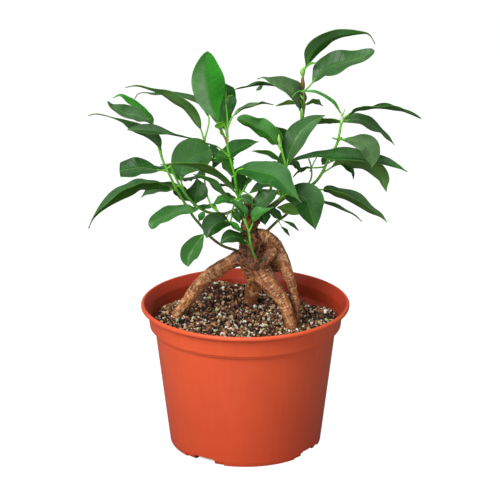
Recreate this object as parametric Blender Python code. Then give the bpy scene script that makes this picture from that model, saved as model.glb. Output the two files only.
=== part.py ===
"""A ginseng ficus in a round plastic grower's pot.

The plant stands on four swollen roots that grow together into a short neck. Leafy shoots leave
the neck and the knot below it. The pot's underside rests on z = 0 and its axis is the Z axis.
Sizes below are in millimetres, and MM turns them into Blender's metres. -Y faces the viewer.
"""

import math
from dataclasses import dataclass

import bpy
import numpy as np

MM = 0.001
CLEARANCE = 0.35  # gap left between solids that touch

# Pot
POT_HEIGHT = 113.0
LIP_RADIUS = 80.0
COLLAR_BOTTOM = 95.5
COLLAR_RADIUS = 73.5
LEDGE_RADIUS = 71.5  # the small step between the collar and the wall
WALL_TOP_RADIUS = 69.3
WALL_FOOT_RADIUS = 58.8
FLOOR_UNDERSIDE = 5.0
FLOOR_TOP = 6.8
WALL = 1.6
FOOT_WIDTH = 6.0
POT_SIDES = 44
NOTCH_BEARINGS = (-33.0, 57.0, 147.0, 237.0)  # degrees, 0 faces the viewer, positive turns to +X
NOTCH_WIDTH = 18.0  # degrees
RECESS_WIDTH = 8.0  # degrees on each side of a notch
RECESS_DEPTH = 1.5
DRAIN_RADIUS = 4.5
DRAIN_FROM_AXIS = 49.0

# Soil
SOIL_LEVEL = 96.0
SOIL_SIDES = 36
SOIL_RINGS = 6
# Heaps and hollows in the soil: centre x, centre y, spread, height.
SOIL_FORMS = (
    (-22, 52, 17, 11),
    (4, 64, 22, 4),
    (-50, 18, 16, 2),
    (48, 46, 18, -3),
    (62, 12, 10, 4),
    (-4, -44, 34, 3),
)

# Leaf blades
BLADE = 0.8  # thickness
STATIONS = (0.0, 0.14, 0.34, 0.58, 0.82, 1.0)  # shares of the rib's length
SMALL_STATIONS = (0.0, 0.28, 0.68, 1.0)
SMALL_LEAF = 14.5  # a blade narrower than this has the fewer stations
BASE_HALF_WIDTH = 0.7
TIP_HALF_WIDTH = 0.35
WAVES_ALONG = 2.2
PETIOLE_RADIUS = 0.7
PETIOLE_SIDES = 3
VIEWER = np.array((0.0, -math.cos(math.radians(18)), math.sin(math.radians(18))))
SKY = np.array((0.0, 0.0, 1.0))
PLUS_X = np.array((1.0, 0.0, 0.0))


@dataclass(frozen=True)
class Leaf:
    """One leaf. Its points run from the stem along the petiole to the blade's base, then to the tip.

    turn is how far the upper face is rolled about the rib: 0 faces the viewer, 90 the sky (or +X
    on an upright leaf), and more than 90 shows the viewer the underside. fold is how far each
    half rises from flat, and twist turns the tip against the base. All three are in degrees.
    broad is where the blade is widest, as a share of its length. A larger drip draws the tip out
    more finely and a negative one makes it blunt, and neck does the same for the base. wave is the
    height of the margin's ripple, which is less on a leaf narrower than 15 mm.
    """

    name: str
    width: float
    turn: float
    points: tuple
    fold: float = 14.0
    twist: float = 0.0
    wave: float = 0.8
    broad: float = 0.48
    drip: float = 0.5
    neck: float = 0.0


@dataclass(frozen=True)
class Stem:
    """A round stem that tapers along a smooth curve through its points."""

    name: str
    radius: float
    tip_radius: float
    points: tuple


# Each root: x, y, z and radius along its middle line, from the knot down into the soil.
ROOTS = {
    "neck": (
        (4, -1, 195, 4.2), (3, -1, 189, 5.0), (3, -1, 180, 5.8), (3, 0, 171, 6.4),
        (4, 0, 163, 8.0), (5, 1, 153, 9.4), (6, 2, 145, 10.2), (8, 2, 137, 9.6), (11, 0, 131, 7.6),
    ),
    "left": (
        (0, 2, 149, 6.6), (-8, 4, 145, 5.5), (-17, 6, 139, 5.4), (-27, 8, 131, 5.4),
        (-37, 9, 121, 5.2), (-45, 8, 110, 4.6), (-52, 7, 101, 4.2), (-57, 6, 93, 3.6), (-59, 5, 84, 2.6),
    ),
    "right_front": (
        (9, -2, 147, 7.0), (13, -6, 138, 7.6), (19, -11, 130, 6.8), (26, -14, 122, 5.4),
        (31, -17, 113, 4.7), (34, -18, 104, 4.2), (36, -19, 96, 3.7), (38, -19, 86, 2.8),
    ),
    "right_back": (
        (8, 2, 167, 5.0), (15, 4, 161, 7.4), (22, 5, 155, 6.8), (28, 4, 146, 5.2), (32, 3, 136, 4.5),
        (35, 1, 126, 3.9), (38, -1, 115, 3.4), (39, -3, 106, 3.0), (40, -4, 97, 2.4), (41, -4, 88, 2.0),
    ),
    "middle_back": (
        (8, 8, 144, 8.0), (8, 17, 132, 7.0), (7, 26, 119, 6.0), (5, 33, 108, 5.4),
        (4, 38, 98, 4.6), (3, 42, 88, 3.4),
    ),
    "back_lobe": ((15, 8, 152, 7.0), (20, 14, 144, 6.6), (23, 19, 136, 5.2), (24, 22, 131, 3.0)),
    "band": ((0, -7, 147, 3.6), (8, -9, 146, 4.6), (16, -7, 150, 4.4), (23, -3, 156, 3.6)),
}
ROOT_SIDES = 10
BURIED_ROOTS = ("left", "right_front", "right_back", "middle_back")

# Where each shoot leaves the trunk: a point inside the trunk, which its collar grows from.
COLLARS = {
    "shoot_centre": (3, -2, 182),
    "shoot_middle": (4, -1, 178),
    "shoot_right": (6, 1, 172),
    "shoot_high_right": (12, 4, 161),
    "shoot_left": (3, 0, 181),
    "shoot_left_front": (2, 0, 150),
    "shoot_front": (8, -5, 149),
    "shoot_back": (6, 3, 166),
}

# The first stem of each shoot is the one that leaves the trunk, and the others branch from it.
STEMS = {
    "shoot_centre": (
        Stem("main", 1.1, 0.8, (
            (1, -9, 187), (-2, -10, 193), (-5, -12, 200), (-8, -17, 219), (-12, -20, 236), (-14, -21, 246),
            (-17, -21, 253), (-18, -23, 257),
        )),
        Stem("spur", 0.8, 0.6, ((-13, -21, 242), (-13, -20, 250), (-13, -20, 262), (-14, -20, 273))),
    ),
    "shoot_middle": (
        Stem("main", 1.2, 0.8, (
            (9, -7, 184), (14, -8, 188), (20, -9, 193), (27, -12, 200), (30, -16, 214), (30, -18, 226),
            (28, -20, 235), (26, -21, 244),
        )),
        Stem("bud", 1.3, 0.5, ((26, -21, 241), (26, -21, 246), (25, -22, 250))),
    ),
    "shoot_right": (
        Stem("main", 1.4, 0.8, (
            (14, 3, 180), (20, 6, 185), (27, 8, 191), (38, 8, 198), (47, 6, 202), (53, 4, 207),
            (58, 2, 215), (63, 1, 227), (68, -2, 237), (71, -4, 252), (72, -5, 262),
        )),
        Stem("twig", 0.7, 0.6, ((45, 6, 201), (50, 11, 208), (50, 12, 216), (48, 12, 223))),
        Stem("twiglet", 0.5, 0.4, ((49, 11, 213), (51, 12, 218), (54, 12, 224))),
        Stem("stub", 0.8, 0.6, ((72, -2, 243), (70, -4, 243), (68, -5, 243), (65, -6, 244))),
        Stem("spike", 0.5, 0.3, ((72, -5, 259), (73, -5, 263), (74, -5, 266))),
    ),
    "shoot_high_right": (
        Stem("main", 1.1, 0.7, (
            (18, 9, 168), (25, 12, 174), (32, 14, 179), (35, 16, 185), (34, 18, 192), (31, 20, 200),
            (30, 20, 210), (33, 20, 222), (37, 20, 235), (42, 19, 246), (44, 18, 259), (44, 17, 273),
            (43, 15, 285), (44, 14, 291),
        )),
    ),
    "shoot_left": (
        Stem("main", 1.2, 0.8, (
            (-5, 3, 186), (-10, 4, 184), (-15, 4, 182), (-21, 4, 182), (-27, 3, 183), (-33, 2, 186),
            (-39, 1, 191), (-46, 0, 200), (-53, -2, 214), (-56, -4, 222),
        )),
        Stem("twig", 0.8, 0.6, (
            (-19, 4, 182), (-25, 9, 186), (-30, 14, 197), (-31, 18, 210), (-31, 20, 222), (-31, 22, 236),
        )),
    ),
    "shoot_left_front": (
        Stem("main", 1.1, 0.8, (
            (-7, -3, 155), (-16, -6, 159), (-26, -8, 167), (-33, -9, 176), (-39, -10, 184), (-45, -13, 195),
            (-51, -17, 207), (-55, -20, 217), (-60, -22, 229), (-63, -23, 239), (-67, -23, 255),
        )),
    ),
    "shoot_front": (
        Stem("main", 1.4, 0.9, (
            (8, -16, 153), (6, -18, 158), (4, -19, 166), (3, -20, 174), (1, -21, 181), (-1, -22, 186),
        )),
    ),
    "shoot_back": (
        Stem("main", 1.6, 0.9, (
            (8, 12, 172), (10, 18, 176), (14, 28, 181), (18, 40, 185), (20, 52, 189), (20, 62, 194),
        )),
    ),
}

LEAVES = {
    "shoot_centre": (
        Leaf("crown_front", 26, 14, (
            (-17, -21, 251), (-20, -22, 257), (-21, -25, 265), (-24, -28, 273), (-26, -31, 285),
            (-28, -33, 303), (-27, -34, 316)),
            fold=16, broad=0.6, drip=-0.1, neck=0.5),
        Leaf("crown_bract", 7, 10, (
            (-16, -22, 252), (-17, -25, 256), (-19, -28, 260), (-21, -30, 265)),
            fold=40),
        Leaf("crown_back", 25, 14, (
            (-12, -19, 246), (-13, -15, 250), (-15, -13, 254), (-18, -9, 266), (-18, -8, 277),
            (-15, -7, 286)),
            broad=0.68, drip=-0.5),
        Leaf("crown_spear", 4, 40, (
            (-13, -20, 264), (-14, -20, 274), (-15, -19, 282), (-16, -18, 294)),
            fold=40),
        Leaf("crown_thread", 1.4, 0, (
            (-14, -20, 272), (-13, -20, 275), (-12, -20, 279), (-9, -20, 280)),
            fold=0),
        Leaf("crown_right", 12, 80, (
            (-13, -20, 256), (-8, -18, 265), (-2, -14, 269), (4, -11, 270), (13, -6, 271), (21, -4, 269))),
        Leaf("crown_rear", 22, 60, ((-14, -20, 248), (-15, -13, 255), (-20, 8, 262), (-24, 34, 252))),
        Leaf("long_left", 13, 72, (
            (-12, -20, 233), (-21, -26, 243), (-27, -29, 246), (-35, -33, 250), (-47, -37, 254),
            (-57, -40, 257), (-67, -43, 260), (-76, -45, 261), (-85, -46, 261)),
            twist=-60, broad=0.74, drip=0.2, neck=1.0),
        Leaf("under_left", 16, 120, (
            (-8, -17, 216), (-10, -14, 217), (-14, -12, 225), (-20, -11, 233)),
            neck=0.3),
        Leaf("hero", 25, 40, (
            (-8, -17, 217), (-5, -22, 224), (3, -27, 226), (9, -31, 226), (16, -34, 225), (22, -37, 224),
            (28, -41, 219), (35, -45, 213), (41, -50, 207)),
            fold=8, broad=0.44, drip=1.0, neck=-0.2),
        Leaf("olive_left", 13, 110, (
            (-4, -12, 199), (-8, -17, 206), (-18, -22, 218), (-29, -28, 226), (-43, -33, 231),
            (-62, -36, 232)),
            drip=0.9),
        Leaf("small_right", 10, 60, (
            (-4, -11, 200), (-1, -15, 207), (3, -17, 215), (6, -17, 218), (10, -16, 220), (15, -15, 220))),
        Leaf("dark_left", 12, 112, (
            (-5, -12, 199), (-11, -10, 197), (-15, -9, 200), (-20, -8, 205), (-28, -7, 212),
            (-39, -6, 216))),
        Leaf("inner_olive", 8, 60, (
            (-5, -12, 199), (-7, -11, 197), (-9, -10, 198), (-13, -9, 200), (-17, -8, 203)),
            neck=-0.3),
        Leaf("inner_dark", 16, 40, (
            (-5, -12, 201), (-4, -10, 202), (-5, -6, 208), (-5, -2, 214), (-3, 2, 220)),
            drip=0.2),
        Leaf("neck_grey", 8, 24, (
            (-4, -11, 198), (-4, -15, 199), (-1, -16, 200), (2, -16, 199), (6, -16, 196)),
            neck=-0.3),
    ),
    "shoot_high_right": (
        Leaf("top_arch", 17, 118, (
            (43, 14, 285), (45, 14, 293), (47, 14, 298), (50, 13, 305), (55, 12, 311), (60, 11, 315),
            (67, 10, 318), (75, 8, 320), (83, 7, 321), (91, 6, 320), (96, 4, 313)),
            fold=12, broad=0.34, drip=0.8, neck=1.2),
        Leaf("top_blade", 22, 38, (
            (44, 16, 273), (50, 14, 281), (54, 13, 287), (58, 13, 292), (63, 12, 295), (72, 11, 298),
            (82, 10, 301), (90, 9, 304), (96, 8, 307)),
            fold=18, wave=1.4, broad=0.38, drip=-0.3, neck=0.9),
        Leaf("grey_left", 24, 46, (
            (44, 19, 254), (43, 18, 262), (42, 17, 266), (40, 15, 270), (37, 13, 275), (31, 12, 279),
            (25, 10, 282), (18, 8, 285), (13, 7, 287), (9, 6, 286)),
            fold=10, broad=0.22, drip=0.7, neck=-0.2),
        Leaf("back_long", 15, 84, ((44, 17, 268), (35, 24, 275), (13, 30, 277), (-8, 32, 272))),
        Leaf("cross_left", 10, 104, (
            (44, 19, 252), (44, 23, 265), (36, 26, 263), (30, 27, 262), (23, 28, 260))),
        Leaf("cross_right", 11, 104, (
            (44, 18, 256), (46, 22, 263), (50, 25, 264), (54, 27, 263), (59, 28, 260)),
            broad=0.3, neck=-0.4),
        Leaf("thread_top", 2.6, 40, ((43, 14, 285), (45, 13, 293), (48, 13, 296), (53, 12, 297)), fold=0),
        Leaf("rear_upper", 20, 66, ((42, 19, 248), (41, 26, 264), (35, 42, 270), (29, 60, 266))),
        Leaf("rear_middle", 20, 66, ((32, 20, 206), (29, 28, 205), (24, 44, 199), (13, 54, 196))),
        Leaf("under_olive", 17, 60, (
            (35, 15, 181), (42, -4, 185), (38, -5, 187), (34, -4, 187), (29, -3, 188), (24, -3, 189)),
            drip=0.2),
        Leaf("under_grey", 10, 40, ((24, 11, 173), (28, 5, 179), (24, 2, 182), (18, -1, 184)), drip=0.2),
        Leaf("tiny_a", 4, 50, ((27, 12, 174), (30, 10, 174), (35, 9, 172), (41, 8, 167))),
        Leaf("tiny_b", 4, 50, ((26, 12, 174), (28, 11, 169), (31, 11, 166), (34, 11, 162))),
    ),
    "shoot_right": (
        Leaf("young_arch", 5, 60, (
            (72, -5, 260), (71, -5, 263), (69, -4, 266), (66, -3, 270), (62, -2, 273), (57, -1, 276),
            (51, 0, 278), (47, 1, 278), (43, 3, 278), (38, 1, 277), (35, -1, 274)),
            fold=20, broad=0.36, drip=1.6, neck=0.6),
        Leaf("far_right", 16, 82, (
            (72, -5, 257), (77, -5, 262), (80, -5, 264), (83, -6, 266), (88, -7, 267), (95, -9, 269),
            (103, -10, 269), (110, -11, 268), (117, -12, 267), (122, -13, 265), (130, -14, 261)),
            fold=18, wave=1.2, drip=-0.1),
        Leaf("right_droop", 17, 56, (
            (71, -4, 254), (73, -4, 256), (77, -3, 257), (85, -1, 257), (93, 1, 253), (99, 4, 249),
            (104, 6, 244), (109, 7, 239), (112, 8, 235)),
            fold=10, broad=0.44, neck=0.1),
        Leaf("right_in", 15, 108, (
            (71, -4, 254), (71, -3, 256), (66, 1, 255), (60, 4, 254), (55, 9, 252), (50, 14, 249),
            (47, 17, 244)),
            broad=0.4, neck=-0.4),
        Leaf("right_spoon", 19, 36, (
            (68, -2, 239), (71, -6, 243), (79, -10, 243), (87, -13, 243), (92, -16, 242), (94, -18, 239),
            (94, -19, 235), (93, -20, 232), (94, -21, 225)),
            broad=0.56, drip=0.5, neck=0.2),
        Leaf("right_olive", 19, 120, (
            (58, 2, 214), (65, 2, 219), (69, 2, 222), (76, 2, 223), (83, 1, 222), (92, 1, 220),
            (100, 0, 216), (104, -1, 211), (105, -3, 206), (106, -5, 202)),
            broad=0.56, drip=0.2),
        Leaf("right_hang", 10, 50, (
            (63, 0, 226), (69, 2, 224), (75, 4, 221), (79, 5, 218), (81, 7, 214), (82, 8, 208))),
        Leaf("right_low", 19, 70, (
            (47, 6, 202), (59, 7, 200), (64, 7, 200), (69, 6, 198), (77, 5, 196), (87, 3, 191),
            (95, 0, 186), (102, -4, 183), (107, -8, 179)),
            fold=40, broad=0.44, neck=-0.3),
        Leaf("right_thin", 8, 76, (
            (45, 6, 201), (51, 10, 197), (60, 12, 189), (68, 12, 186), (75, 11, 183), (82, 10, 180),
            (89, 10, 174))),
        Leaf("right_rear", 18, 66, ((62, 1, 222), (65, 8, 222), (71, 26, 221), (78, 46, 214))),
        Leaf("right_edge", 9, 104, (
            (60, 2, 219), (50, 8, 217), (47, 9, 217), (43, 9, 215), (39, 8, 213), (36, 6, 210)),
            fold=6),
        Leaf("right_small", 6, 30, ((63, 0, 227), (62, 6, 225), (60, 8, 223), (58, 9, 219)), drip=0.2),
    ),
    "shoot_middle": (
        Leaf("mid_tall", 18, 24, (
            (30, -18, 222), (31, -18, 226), (32, -19, 234), (35, -20, 243), (41, -18, 252), (48, -15, 258),
            (59, -12, 263)),
            fold=18, drip=0.3),
        Leaf("mid_left", 16, 146, (
            (28, -20, 236), (24, -20, 243), (21, -20, 248), (16, -19, 253), (9, -18, 256), (2, -18, 260),
            (-6, -18, 262)),
            fold=24, wave=1.8, broad=0.34, drip=-0.3, neck=-0.3),
        Leaf("mid_inner", 12, 36, (
            (28, -20, 235), (28, -12, 238), (29, -9, 243), (27, -8, 248), (23, -7, 253))),
        Leaf("mid_back", 14, 30, (
            (30, -17, 220), (31, -8, 226), (34, -3, 236), (41, 2, 243), (49, 6, 247)),
            drip=0.2, neck=0.8, broad=0.6),
        Leaf("mid_thin", 9, 110, (
            (30, -17, 222), (30, -17, 225), (28, -16, 227), (23, -14, 231), (18, -12, 233), (12, -9, 234),
            (5, -6, 234)),
            fold=8),
        Leaf("mid_small", 7, 40, (
            (30, -17, 220), (32, -14, 226), (35, -14, 227), (38, -13, 225), (42, -12, 219))),
        Leaf("right_long", 22, 62, (
            (30, -17, 222), (31, -17, 226), (34, -18, 229), (39, -17, 231), (46, -15, 232), (54, -13, 233),
            (65, -11, 232), (76, -9, 231), (86, -8, 230), (96, -8, 228), (105, -8, 226), (113, -9, 223),
            (121, -10, 219)),
            broad=0.6),
        Leaf("right_dark", 25, 22, (
            (24, -11, 197), (30, -16, 203), (34, -20, 205), (41, -26, 206), (46, -29, 203), (48, -32, 197),
            (50, -34, 190), (52, -36, 182)),
            broad=0.46, drip=0.3),
        Leaf("neck_right", 16, 30, (
            (11, -8, 186), (5, -11, 193), (8, -13, 195), (11, -14, 197), (17, -15, 201), (24, -15, 206)),
            drip=0.2),
        Leaf("neck_small", 7, 30, (
            (27, -12, 200), (22, -11, 208), (17, -11, 210), (14, -11, 210), (9, -12, 207), (3, -13, 203)),
            drip=0.2),
        Leaf("under_dark", 11, 30, ((14, -8, 188), (14, -5, 189), (14, -7, 184), (15, -9, 177))),
    ),
    "shoot_left_front": (
        Leaf("left_arch", 22, 70, (
            (-51, -18, 206), (-56, -24, 210), (-60, -26, 212), (-66, -28, 214), (-71, -31, 215),
            (-78, -34, 216), (-84, -37, 213), (-93, -40, 209), (-101, -42, 204), (-108, -44, 198),
            (-112, -45, 193), (-115, -46, 186)),
            fold=42, broad=0.42, drip=1.0),
        Leaf("left_tip_under", 13, 120, (
            (-61, -23, 234), (-62, -24, 240), (-65, -25, 247), (-71, -27, 253), (-79, -28, 257),
            (-85, -29, 260), (-92, -30, 264), (-99, -31, 267), (-106, -32, 269), (-111, -33, 269),
            (-114, -33, 268)),
            twist=-30, broad=0.3, drip=2.2, neck=1.2),
        Leaf("left_grey", 17, 52, (
            (-66, -22, 250), (-68, -18, 258), (-71, -17, 261), (-76, -16, 263), (-81, -16, 265),
            (-87, -17, 266), (-93, -18, 269), (-99, -18, 272), (-101, -18, 275)),
            broad=0.4, drip=0.0),
        Leaf("left_bright", 10, 62, (
            (-67, -23, 254), (-68, -25, 260), (-71, -27, 267), (-76, -29, 273), (-84, -31, 278),
            (-91, -32, 283), (-96, -32, 281))),
        Leaf("left_low_light", 16, 14, (
            (-31, -8, 173), (-31, -12, 171), (-36, -16, 166), (-40, -20, 161), (-43, -22, 155),
            (-43, -24, 149)),
            fold=20, broad=0.56, drip=0.0),
    ),
    "shoot_left": (
        Leaf("flag", 17, 32, (
            (-56, -4, 221), (-61, -6, 219), (-67, -8, 220), (-77, -8, 222), (-86, -8, 221), (-94, -7, 219)),
            broad=0.68, drip=-0.62),
        Leaf("left_round", 29, 12, (
            (-45, 0, 199), (-48, 2, 207), (-49, 4, 213), (-46, 7, 220), (-40, 11, 225), (-26, 17, 229)),
            broad=0.6, drip=-0.3, neck=0.1),
        Leaf("left_grey_low", 15, 54, (
            (-44, 0, 197), (-49, 5, 203), (-61, 6, 202), (-72, 5, 200), (-79, 3, 195))),
        Leaf("left_inner", 15, 50, ((-36, 2, 188), (-40, 9, 190), (-49, 14, 195), (-57, 16, 202))),
        Leaf("left_up", 17, 16, (
            (-37, 1, 189), (-39, 6, 188), (-38, 9, 193), (-36, 11, 200), (-37, 12, 208)),
            neck=0.5),
        Leaf("left_low", 16, 46, (
            (-32, 2, 186), (-35, -10, 192), (-39, -20, 193), (-46, -22, 193), (-53, -25, 192),
            (-59, -27, 190), (-66, -29, 187), (-70, -31, 181)),
            broad=0.62, drip=-0.3),
        Leaf("left_bright_low", 6, 30, ((-31, 2, 184), (-31, -4, 186), (-33, -6, 183), (-35, -6, 179))),
        Leaf("cluster_far", 8, 60, (
            (-20, 4, 182), (-22, 8, 185), (-25, 10, 186), (-30, 10, 185), (-37, 9, 187)),
            neck=-0.2),
        Leaf("cluster_near", 9, 44, (
            (-10, 4, 184), (-9, -2, 192), (-12, -4, 195), (-15, -5, 196), (-20, -5, 195), (-25, -3, 191)),
            neck=-0.3),
        Leaf("low_lime", 6, 40, (
            (-13, 4, 183), (-13, -8, 179), (-10, -9, 178), (-6, -10, 175), (-2, -11, 172))),
        Leaf("neck_left", 8, 30, ((-8, 4, 184), (-9, -3, 187), (-8, -5, 186), (-6, -7, 183), (-4, -8, 178))),
        Leaf("front_leaf_low", 20, 34, (
            (-10, 4, 184), (-12, -8, 179), (-16, -12, 182), (-20, -16, 182), (-25, -19, 179),
            (-29, -22, 171)),
            broad=0.46, drip=0.1, neck=-0.2),
        Leaf("back_olive", 13, 116, (
            (-31, 22, 234), (-34, 22, 244), (-39, 22, 254), (-44, 21, 261), (-51, 20, 266), (-62, 19, 272),
            (-70, 18, 275), (-83, 18, 278), (-90, 17, 277)),
            twist=-34, broad=0.4, drip=0.9),
        Leaf("back_grey", 14, 72, (
            (-31, 22, 234), (-28, 26, 253), (-34, 28, 262), (-41, 29, 266), (-49, 30, 268), (-60, 30, 269),
            (-70, 30, 269), (-77, 30, 270), (-81, 30, 269), (-84, 30, 265)),
            fold=8, broad=0.34, drip=1.0),
        Leaf("back_right", 18, 44, (
            (-31, 19, 214), (-26, 15, 221), (-18, 11, 225), (-10, 8, 230), (1, 5, 236), (10, 2, 239))),
        Leaf("back_hang", 9, 40, ((-31, 20, 219), (-24, 22, 224), (-22, 24, 219), (-25, 26, 211))),
        Leaf("rear_left", 22, 66, ((-31, 17, 206), (-33, 23, 205), (-39, 46, 201), (-43, 68, 189))),
        Leaf("rear_inner", 20, 66, ((-31, 20, 222), (-28, 27, 222), (-18, 48, 217), (-10, 66, 206))),
        Leaf("flag_rear", 18, 66, ((-52, -2, 212), (-54, 5, 213), (-62, 25, 213), (-72, 46, 206))),
    ),
    "shoot_front": (
        Leaf("front_dark", 15, 46, (
            (5, -18, 162), (2, -22, 167), (-2, -25, 171), (-7, -28, 174), (-13, -30, 174), (-19, -32, 169)),
            fold=6),
        Leaf("pale_left", 9, 36, (
            (1, -20, 180), (0, -22, 187), (-1, -24, 192), (-4, -25, 196), (-7, -25, 199), (-11, -25, 202)),
            fold=24, broad=0.4, neck=-0.2),
        Leaf("pale_right", 11, 44, (
            (3, -20, 175), (6, -22, 184), (6, -25, 189), (9, -28, 192), (15, -30, 195), (21, -32, 198)),
            broad=0.32, drip=0.9, neck=-0.2),
    ),
    "shoot_back": (
        Leaf("back_left_arm", 20, 66, ((14, 28, 181), (-1, 40, 189), (-10, 50, 192), (-20, 64, 186))),
        Leaf("back_right_arm", 20, 66, ((17, 37, 184), (24, 44, 186), (44, 52, 182), (58, 56, 171))),
        Leaf("back_end", 22, 66, ((20, 60, 193), (20, 67, 196), (16, 84, 195), (10, 104, 184))),
        Leaf("back_up", 12, 20, ((20, 57, 191), (24, 60, 199), (32, 62, 210), (40, 64, 224))),
    ),
}


def smooth_curve(points, count):
    """Points at even steps along a smooth curve through points of any number of columns.

    Each stretch is a cubic whose slope at a point is that of the line between its neighbours.
    """
    knots = np.array(points, float)
    lengths = np.linalg.norm(np.diff(knots[:, :3], axis=0), axis=1)
    at = np.concatenate([[0.0], np.cumsum(lengths)])
    slopes = np.gradient(knots, at, axis=0)
    where = np.linspace(0.0, at[-1], count)
    i = np.clip(np.searchsorted(at, where, side="right") - 1, 0, len(lengths) - 1)
    step = lengths[i][:, None]
    t = (where - at[i])[:, None] / step
    return (
        knots[i] * (1 + 2 * t) * (1 - t) ** 2
        + knots[i + 1] * t**2 * (3 - 2 * t)
        + slopes[i] * step * t * (1 - t) ** 2
        + slopes[i + 1] * step * t**2 * (t - 1)
    )


def unit(vectors):
    return vectors / np.linalg.norm(vectors, axis=-1, keepdims=True)


def across(vectors, tangents):
    """The part of each vector that is square to its tangent, at length one."""
    return unit(vectors - (vectors * tangents).sum(-1, keepdims=True) * tangents)


def ring_frames(path):
    """Two directions square to the path at each point, carried along it without spinning."""
    tangents = unit(np.gradient(path, axis=0))
    start = PLUS_X if abs(tangents[0] @ PLUS_X) < 0.9 else SKY
    first = [across(start, tangents[0])]
    for tangent in tangents[1:]:
        first.append(across(first[-1], tangent))
    first = np.array(first)
    return first, np.cross(tangents, first)


def add_mesh(name, points, faces):
    """A mesh object from points in millimetres."""
    mesh = bpy.data.meshes.new(name)
    mesh.from_pydata((np.asarray(points) * MM).tolist(), [], faces)
    mesh.update()
    obj = bpy.data.objects.new(name, mesh)
    bpy.context.scene.collection.objects.link(obj)
    return obj


def tube(name, path, radii, sides):
    """A closed tube with flat ends around a path."""
    first, second = ring_frames(path)
    angles = np.arange(sides) * math.tau / sides
    rings = (
        path[:, None]
        + radii[:, None, None]
        * (np.cos(angles)[None, :, None] * first[:, None] + np.sin(angles)[None, :, None] * second[:, None])
    )
    count = len(path)
    faces = [
        (r * sides + s, r * sides + (s + 1) % sides, (r + 1) * sides + (s + 1) % sides, (r + 1) * sides + s)
        for r in range(count - 1)
        for s in range(sides)
    ]
    faces.append(tuple(range(sides))[::-1])
    faces.append(tuple(range((count - 1) * sides, count * sides)))
    return add_mesh(name, rings.reshape(-1, 3), faces)


def lathe(name, profile, sides):
    """A solid turned about Z. The profile runs up the outside and ends on the axis, or starts there."""
    angles = np.arange(sides) * math.tau / sides
    radii, heights = np.array(profile, float).T
    points = np.stack(
        [
            radii[:, None] * np.cos(angles),
            radii[:, None] * np.sin(angles),
            np.repeat(heights[:, None], sides, axis=1),
        ],
        axis=-1,
    )
    count = len(profile)
    faces = [
        (r * sides + s, r * sides + (s + 1) % sides, (r + 1) * sides + (s + 1) % sides, (r + 1) * sides + s)
        for r in range(count - 1)
        for s in range(sides)
    ]
    faces.append(tuple(range(sides))[::-1])
    faces.append(tuple(range((count - 1) * sides, count * sides)))
    return add_mesh(name, points.reshape(-1, 3), faces)


def width_along(leaf, s):
    """Half the blade's width at s, as a share of its widest: a sine bump moved to the broad place,
    raised to a power that the drip changes towards the tip and the neck towards the base."""
    bump = np.sin(math.pi * s ** (math.log(0.5) / math.log(leaf.broad)))
    return np.maximum(bump, 0) ** (0.75 + leaf.drip * s + leaf.neck * (1 - s))


def blade_frame(leaf, rib):
    """Along, sideways and upper-face directions at each rib point."""
    along = unit(np.gradient(rib, axis=0))
    chord = unit(rib[-1] - rib[0])
    facing = across(VIEWER, chord)
    towards_sky = np.cross(facing, chord)
    if towards_sky @ (SKY + 0.2 * PLUS_X) < 0:
        towards_sky = -towards_sky
    share = np.linspace(-0.5, 0.5, len(rib))[:, None]
    turn = np.radians(leaf.turn + leaf.twist * share)
    up = across(np.cos(turn) * facing + np.sin(turn) * towards_sky, along)
    return along, np.cross(up, along), up


def blade(leaf):
    """A thin closed leaf blade: two faces with the same triangles, 0.8 mm apart, and a rim."""
    fine = smooth_curve(leaf.points[1:], 101)
    s = np.array(STATIONS if leaf.width >= SMALL_LEAF else SMALL_STATIONS)
    rib = fine[np.round(s * 100).astype(int)]
    _, side, up = blade_frame(leaf, rib)
    half = np.maximum(leaf.width / 2 * width_along(leaf, s), BASE_HALF_WIDTH + (TIP_HALF_WIDTH - BASE_HALF_WIDTH) * s)
    rise = math.radians(leaf.fold)
    rib = rib - (half / 2 * math.sin(rise))[:, None] * up
    wave = leaf.wave * min(1.0, leaf.width / 15)
    edges = []
    for hand in (-1, 1):
        ripple = wave * np.sin(math.pi * s) * np.sin(WAVES_ALONG * math.tau * s + hand)
        out = (half * math.cos(rise))[:, None] * hand * side
        edges.append(rib + out + (half * math.sin(rise) + ripple)[:, None] * up)
    middle = np.stack([edges[0], rib, edges[1]], axis=1)
    lift = up[:, None] * BLADE / 2
    rows = len(s)
    points = np.concatenate([(middle + lift).reshape(-1, 3), (middle - lift).reshape(-1, 3)])
    top = [(3 * r + c, 3 * r + c + 1, 3 * r + c + 4, 3 * r + c + 3) for r in range(rows - 1) for c in (0, 1)]
    split = []
    for a, b, c, d in top:
        split += [(a, b, c), (a, c, d)]
    under = 3 * rows
    below = [tuple(under + i for i in reversed(face)) for face in split]
    rim_loop = (
        [3 * r for r in range(rows)]
        + [3 * rows - 2]
        + [3 * r + 2 for r in reversed(range(rows))]
        + [1]
    )
    following = rim_loop[1:] + rim_loop[:1]
    rim = [(a, b, under + b, under + a) for a, b in zip(rim_loop, following)]
    return add_mesh(leaf.name, points, split + below + rim)


def petiole(leaf, stem_points):
    """The leaf's stalk: from the nearest point of a stem's middle to a little way into the blade."""
    points = np.array(leaf.points, float)
    nearest = np.argmin(np.linalg.norm(stem_points - points[0], axis=1))
    points[0] = stem_points[nearest]
    curve = smooth_curve(points, 41)
    lengths = np.linalg.norm(np.diff(points, axis=0), axis=1)
    end = lengths[0] + min(0.16 * lengths[1:].sum(), 5.0)
    share = np.linspace(0, end / lengths.sum(), 3)
    path = curve[np.round(share * 40).astype(int)]
    thin = min(1.0, leaf.width / 8)
    return tube(leaf.name + "_petiole", path, PETIOLE_RADIUS * thin * np.array((1.2, 1.0, 0.8)), PETIOLE_SIDES)


def stem_path(stem):
    return smooth_curve(stem.points, len(stem.points) + 1)


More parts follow.
